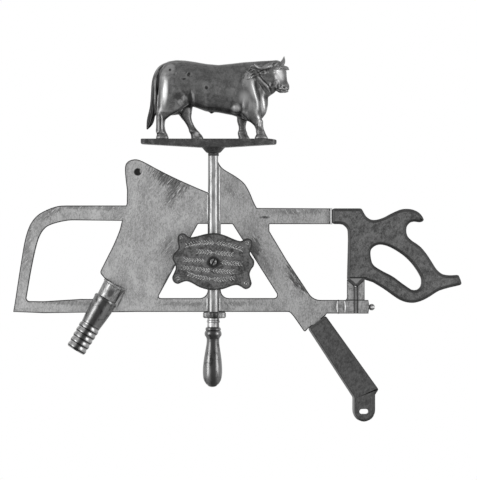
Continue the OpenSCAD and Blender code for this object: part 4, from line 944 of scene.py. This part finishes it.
grip_finish, own, base, tone, rough = highlighted_metal("turned_grip", grip_end, GRIP_LEAN)
down = own.part("Z")
ribs = down * (1 / RIB_PITCH)
groove = (ribs.math("FRACT", ribs) - 0.5).size().rise(0.3, 0.46)
groove = groove * down.rise(RIB_PITCH * RIB_COUNT + 2, RIB_PITCH * RIB_COUNT - 1)
# Painted shade in the grooves between the ribs
base = (0.9 * groove).tint(base, RIB_GROOVE_SHADE_GREY)
aside = (own.part("X").size() + 5 * (tone - 0.5)).rise(1.5, 7)
# Painted highlight on the sides of the ribs
base = (0.5 * (1.0 - groove) * down.rise(50, 40) * aside).tint(base, GRIP_RIB_HIGHLIGHT_GREY)
surface(base, rough, 0.92, tone, 0.06)
coat("cleaver_grip", grip_finish)

sleeve_finish, at = finish("worn_sleeve")
cloud = at.noise((6, 6, 7), 4, 0.65)
grain = at.noise((1.3, 1.3, 6), 3, 0.65, turn=GRIP_LEAN)
base = grain.rise(0.35, 0.65).tint(SLEEVE_GRAIN_GREY, SLEEVE_GREY)
dull = spots(at, SLEEVE_STAINS, 1.3 * (cloud - 0.5))
surface(dull.tint(base, SLEEVE_STAIN_GREY), 0.3 + 0.15 * cloud, 0.88, grain, 0.06)
coat("cleaver_ferrule", sleeve_finish)

# The knife's handle is a thick bevelled slab with a tab and a slot to hang it by, and the saw's
# handle a closed grip with a horn and a nib in the post. Both are dark and matt, streaked by
# handling, with painted shade along their edges and a painted highlight on the bevels that face left.
GRIP_RIM = 1.1
BEVEL_HIGHLIGHT_GREY = 150
NIB_X, NIB_TOP_Z = 349.1, -169.4
NIB_HALF = 17.0
NIB_GREY = 118


def grip_metal(name, dark, light, edge, painted_shine, nib=False):
    """Dark handled metal, mottled and streaked, with painted edge shade and painted left-bevel
    highlights.
    """
    material, at = finish(name)
    cloud = at.noise((15, 15, 12), 4, 0.65, 0.8)
    coarse = at.noise((4, 5, 7), 4, 0.7, 0.5, turn=20)
    fine = at.noise((1.1, 2, 2.8), 4, 0.75, turn=12)
    tone = 0.26 * cloud + 0.3 * coarse + 0.44 * fine
    base = tone.rise(0.38, 0.62).tint(dark, light)
    base = (0.6 * fine.rise(0.62, 0.72)).tint(base, light + 22)
    if nib:
        inside = (at.mm("X") - NIB_X).size().rise(NIB_HALF, NIB_HALF - 1.6)
        below = at.mm("Z").rise(NIB_TOP_Z, NIB_TOP_Z - 1.2)
        base = (below * inside).tint(base, NIB_GREY)
        cut = (at.mm("Z") - NIB_TOP_Z - 0.4).size().rise(1.5, 0.7)
        base = (cut * inside).tint(base, dark - 14)
    # Painted shade along the edges
    edged = (at.mark("rim") + 1.4 * (coarse - 0.5) + 1.8 * (cloud - 0.5)).rise(0.3, 0.9)
    base = (0.75 * edged).tint(base, edge)
    # Painted highlight on the faces that turn to the left
    lit = (0.0 - at.facing("X")).rise(0.3, 0.7)
    base = (painted_shine * lit).tint(base, BEVEL_HIGHLIGHT_GREY)
    surface(base, 0.46 + 0.2 * tone - 0.1 * edged, 0.5, tone, 0.12)
    return material


knife_grip_finish = grip_metal("knife_grip_metal", 46, 86, 48, 0.6)
knife_handle = worn("knife_handle", 0.6, "knife_slab_handle", angle=12, rim=GRIP_RIM)
dress(knife_handle, knife_grip_finish)
saw_grip_finish = grip_metal("saw_grip_metal", 38, 108, 38, 0.12, nib=True)
saw_handle = worn("saw_handle", 0.8, "saw_closed_handle", angle=12, rim=GRIP_RIM)
dress(saw_handle, saw_grip_finish)

# A steel band closes the bar's entry into the saw's handle. Its middle is painted bright as a
# highlight, and its edges dark as shade.
BAND_X = 308.9
BAND_HIGHLIGHT_GREY = 235
BAND_EDGE_SHADE_GREY = 54

band_finish, at = finish("band_painted_highlight")
grain = at.noise((2, 3, 5), 3, 0.6)
bright = grain.rise(0.3, 0.7).tint(BAND_HIGHLIGHT_GREY - 45, BAND_HIGHLIGHT_GREY)
# Painted highlight in the middle of the band, painted shade at its edges
surface((at.mm("X") - BAND_X).size().rise(1.2, 0.6).tint(BAND_EDGE_SHADE_GREY, bright),
        0.22 + 0.15 * grain, 0.55, grain, 0.04)
coat("saw_band", band_finish)

# A grey post with a groove stands between the handle and the clamp at the end of the lower bar.
# The clamp has a rounded collar between two thin beads, painted bright as highlights, and a
# round-headed tension screw at its end.
CLAMP_GREY = 150
CLAMP_DARK_GREY = 92
CLAMP_EDGE_SHADE_GREY = 36
CLAMP_RIM = 1.2
GROOVE_GREY = 84
GROOVE_HALF = 4.4
SCREW_GREY = 150
BEAD_R = 1.2
BEAD_SHORT, BEAD_BOW = 1.6, 4.0
BEAD_HIGHLIGHT_GREY = 226

clamp_finish, at = finish("clamp_metal")
streaks = at.noise((1.3, 3, 7), 4, 0.7)
cloud = at.noise(9, 3, 0.6)
level = at.noise((9, 3, 1.3), 3, 0.7)
tone = 0.4 * streaks + 0.35 * cloud + 0.25 * level
base = tone.rise(0.38, 0.6).tint(CLAMP_DARK_GREY, CLAMP_GREY)
groove = (at.mm("X") - NIB_X).size().rise(GROOVE_HALF, GROOVE_HALF - 1)
base = ((0.55 + 0.6 * (streaks - 0.5)) * groove).tint(base, GROOVE_GREY)
# Painted shade along the edges of the faces
edged = (at.mark("rim") + 0.7 * (streaks - 0.5)).rise(0.2, 0.75)
base = (0.9 * edged).tint(base, CLAMP_EDGE_SHADE_GREY)
surface(base, 0.36 + 0.2 * tone, 0.7, tone, 0.1)
for node, name in (("saw_post", "grooved_post"), ("clamp_collar", "round_collar"),
                   ("blade_clamp", "clamp_block")):
    dress(worn(node, 0.4, name, rim=CLAMP_RIM), clamp_finish)

screw_finish, at = finish("turned_screw")
grain = at.noise(2, 3, 0.6)
surface(grain.rise(0.35, 0.65).tint(SCREW_GREY - 54, SCREW_GREY),
        0.28 + 0.15 * grain, 0.85, grain, 0.06)
coat("tension_screw", screw_finish)


def beads(name, lines, thick, tip=0.4):
    """Round cords of metal laid along lines of [x, y, z], thinner at their ends."""
    paths = [[(metres(place), tip if step in (0, len(line) - 1) else 1.0)
              for step, place in enumerate(line)] for line in lines]
    piece = drawn(name, paths, thick, 4, 2, 3)
    bpy.ops.object.shade_smooth()
    return piece


# A bead is a bow of [x, height], on the front and on the back
collar_low, collar_high = ([v / MM for v in corner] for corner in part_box("clamp_collar"))
foot, head = collar_low[2] + BEAD_SHORT, collar_high[2] - BEAD_SHORT
under, over = (foot + head) / 2 - BEAD_BOW, (foot + head) / 2 + BEAD_BOW
bead_finish, at = finish("bead_painted_highlight")
grain = at.noise((1.2, 1.2, 2), 3, 0.6)
# The beads are painted bright as highlights
surface(grain.rise(0.3, 0.7).tint(BEAD_HIGHLIGHT_GREY - 50, BEAD_HIGHLIGHT_GREY), 0.35, 0.4, grain, 0.05)
collar_beads = beads("collar_beads", [
    [(x, face * collar_high[1], z) for x, z in bow] for face in (-1, 1) for bow in (
        ((319.8, foot), (318.0, under), (318.0, over), (319.8, head)),
        ((330.8, foot), (331.9, under), (331.9, over), (330.2, head)))], BEAD_R)
dress(collar_beads, bead_finish)

# The plaque is a scrolled dark casting that turns on one screw at its middle. Its face is sunk
# inside a raised border, and stained round the screw and along its ends.
PLAQUE_MIDDLE = (ROD_X, -144.0)
PLAQUE_TILT = 4.4
PLAQUE_BORDER = 2.6
PLAQUE_SINK, PLAQUE_SLOPE = 0.7, 0.7
PLAQUE_GREY = 102
PLAQUE_DARK_GREY = 48
PLAQUE_STAINS = ((129, -144.6, 8, 5, 8, 0.8), (113, -146, 4, 5, 0, 0.7),
                 (110, -180, 7, 5, 20, 0.6), (166, -146, 6, 16, 0, 0.4))

plaque_finish, at = finish("plaque_cast")
cloud = at.noise(12, 4, 0.65, 0.5)
grain = at.noise(2.6, 4, 0.75)
tone = 0.4 * cloud + 0.6 * grain
base = tone.rise(0.38, 0.6).tint(PLAQUE_DARK_GREY, PLAQUE_GREY)
edged = (at.mark("rim") + 0.9 * (grain - 0.5)).rise(0.1, 0.6)
base = (0.8 * edged).tint(base, PLAQUE_DARK_GREY - 14)
dull = spots(at, PLAQUE_STAINS, 1.2 * (grain - 0.5))
base = dull.tint(base, PLAQUE_DARK_GREY - 20)
surface(base, 0.44 + 0.16 * cloud, 0.6, tone, 0.2)
plaque = worn("centre_plaque", 0.7, "scrolled_plaque", rim=PLAQUE_BORDER)
inset_faces(plaque, lambda face: face.select and face.normal.y < 0, PLAQUE_SLOPE, PLAQUE_SINK)
trim(plaque, "WEIGHTED_NORMAL", keep_sharp=False, weight=80)
dress(plaque, plaque_finish, "plaque")

# Six rows of laurel and a scroll in each corner are cast with the plaque, in low relief, and are
# worn bright. A row is [its two ends, its height, its bend], and its leaves point away from the
# middle. A scroll is [along, up, hand].
LAUREL_GREY = 190
LAUREL_BED = 0.1
LAUREL_ROWS = (
    (-45, 44, 30.5, -0.0042), (-26, 30, 15, -0.001), (-46, -11, 0.5, 0), (11, 46, 0.5, 0),
    (-48, 34, -13.5, 0.0005), (-38, 37, -27, 0.0042))
STEM_R, LEAF_R = 0.6, 0.95
LEAF_PITCH, LEAF_LONG = 4.2, 5.4
SCROLLS = ((-56, 34, 1), (51, 34, -1), (-54.5, -31, -1), (54.5, -30, 1))
SCROLL_R = 4.4
SCROLL_STEP = 0.9

sunk_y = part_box("centre_plaque")[0][1] / MM + PLAQUE_SINK - LAUREL_BED
tilt = math.radians(PLAQUE_TILT)


def on_plaque(along, up):
    """A place on the sunk face, from the middle of the plaque along its length and up."""
    return (PLAQUE_MIDDLE[0] + along * math.cos(tilt) + up * math.sin(tilt), sunk_y,
            PLAQUE_MIDDLE[1] - along * math.sin(tilt) + up * math.cos(tilt))


stems, leaves = [], []
for start, end, height, bend in LAUREL_ROWS:
    stems.append([on_plaque(x, height + bend * x * x) for x in np.linspace(start, end, 8)])
    for step in range(int((end - start) / LEAF_PITCH)):
        foot = start + LEAF_PITCH * (step + 0.5)
        out = 1 if foot > 0 else -1
        for side in (-1, 1):
            leaves.append([
                on_plaque(foot + out * LEAF_LONG * way * 0.85,
                          height + bend * foot ** 2 + side * LEAF_LONG * (way - 0.35 * way ** 2))
                for way in (0.1, 0.4, 0.7, 1.0)])
for along, up, hand in SCROLLS:
    stems.append([
        on_plaque(along + hand * SCROLL_R * (1 - 0.1 * k) * math.cos(k * SCROLL_STEP),
                  up + SCROLL_R * (1 - 0.1 * k) * math.sin(k * SCROLL_STEP)) for k in range(9)])
laurel_finish, at = finish("worn_laurel")
grain = at.noise(2.2, 4, 0.7)
surface(grain.rise(0.38, 0.62).tint(PLAQUE_GREY - 8, LAUREL_GREY),
        0.36 + 0.2 * grain, 0.75, grain, 0.05)
dress(beads("laurel_stems", stems, STEM_R), laurel_finish, "plaque")
dress(beads("laurel_leaves", leaves, LEAF_R, 0.3), laurel_finish, "plaque")

# One steel screw holds the plaque, off the rod by a spacer tube. A slot for the driver is cut
# across its head, and is painted dark as shade.
SLOT_WIDE, SLOT_DEEP, SLOT_LONG = 2.0, 1.2, 30
SLOT_TURN = 28
SLOT_SHADE_GREY = 20
HEAD_GREY = 140

screw = worn("plaque_screw", 0.0, "slotted_screw")
bpy.ops.mesh.primitive_cube_add(
    size=MM, location=(PLAQUE_MIDDLE[0] * MM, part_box("plaque_screw")[0][1], PLAQUE_MIDDLE[1] * MM),
    rotation=(0, math.radians(SLOT_TURN), 0), scale=(SLOT_WIDE, 2 * SLOT_DEEP, SLOT_LONG))
cutter = bpy.context.object
trim(screw, "BOOLEAN", operation="DIFFERENCE", object=cutter)
bpy.ops.object.shade_smooth_by_angle(angle=math.radians(35))
bpy.data.objects.remove(cutter)
screw_dark, at = finish("dark_screw")
grain = at.noise(1.5, 3, 0.6)
slot = at.placed((PLAQUE_MIDDLE[0], 0, PLAQUE_MIDDLE[1]), (0, SLOT_TURN, 0)).part("X").size()
base = grain.rise(0.35, 0.65).tint(HEAD_GREY / 2, HEAD_GREY)
# Painted shade in the slot
base = slot.rise(SLOT_WIDE / 2 + 0.4, SLOT_WIDE / 2).tint(base, SLOT_SHADE_GREY)
surface(base, 0.4, 0.7, grain, 0.08)
dress(screw, screw_dark)
coat("plaque_spacer", iron)

# The floor is plain and pale, far enough below the sign to be out of the photograph's frame. Two
# upright soft boxes stand in front, one on each side, in an even white surround. The camera looks
# square at the front.
FLOOR_Z = -0.62
FLOOR_R = 1.6
FLOOR_GREY = 238
VIEW_WIDTH = 0.7632
VIEW_MIDDLE = (0.1611, -0.1088)
CAMERA_AWAY = 6.0
CAMERA_FILM = 36
LAMP_SIZE = (0.7, 1.5)
LAMP_AWAY = 2.1
LAMP_SIDE = 57
LAMP_Z = 0.1
LAMP_WATTS = 22
SURROUND = 0.5

bpy.ops.object.select_all(action="DESELECT")
bpy.ops.mesh.primitive_circle_add(
    vertices=64, radius=FLOOR_R, fill_type="NGON", location=(VIEW_MIDDLE[0], 0, FLOOR_Z))
floor = bpy.context.object
floor.name = "floor"
floor_finish, at = finish("pale_floor")
surface(at.noise(300, 2).tint(FLOOR_GREY, FLOOR_GREY + 3), 0.8, 0.0, at.noise(40, 2), 0.01)
floor.data.materials.append(floor_finish)

world = bpy.data.worlds.new("white_surround")
bpy.context.scene.world = world
world.use_nodes = True
world.node_tree.nodes.clear()
path = world.node_tree.nodes.new("ShaderNodeLightPath")
seen, mirrored, passed = (Wire(world.node_tree, path.outputs[name]) for name in (
    "Is Camera Ray", "Is Glossy Ray", "Is Transmission Ray"))
white = SURROUND + (1 - SURROUND) * (seen | mirrored | passed)
light = white.node("ShaderNodeBackground", {}, {"Color": (1, 1, 1, 1), "Strength": white})
light.node("ShaderNodeOutputWorld", {}, {"Surface": light})

for side in (-1, 1):
    turn = math.radians(side * LAMP_SIDE)
    bpy.ops.object.light_add(type="AREA", location=(
        ROD_X * MM + LAMP_AWAY * math.sin(turn), -LAMP_AWAY * math.cos(turn), LAMP_Z))
    lamp = bpy.context.object
    lamp.data.shape = "RECTANGLE"
    lamp.data.size, lamp.data.size_y = LAMP_SIZE
    lamp.data.energy = LAMP_WATTS
    lamp.rotation_euler = (math.pi / 2, 0, turn)

bpy.ops.object.camera_add(location=(VIEW_MIDDLE[0], -CAMERA_AWAY, VIEW_MIDDLE[1]),
                          rotation=(math.pi / 2, 0, 0))
camera = bpy.context.object
camera.data.sensor_fit = "HORIZONTAL"
camera.data.sensor_width = CAMERA_FILM
camera.data.lens = CAMERA_FILM * CAMERA_AWAY / VIEW_WIDTH
camera.data.clip_end = 30
bpy.context.scene.camera = camera
bpy.context.scene.view_settings.view_transform = "Standard"
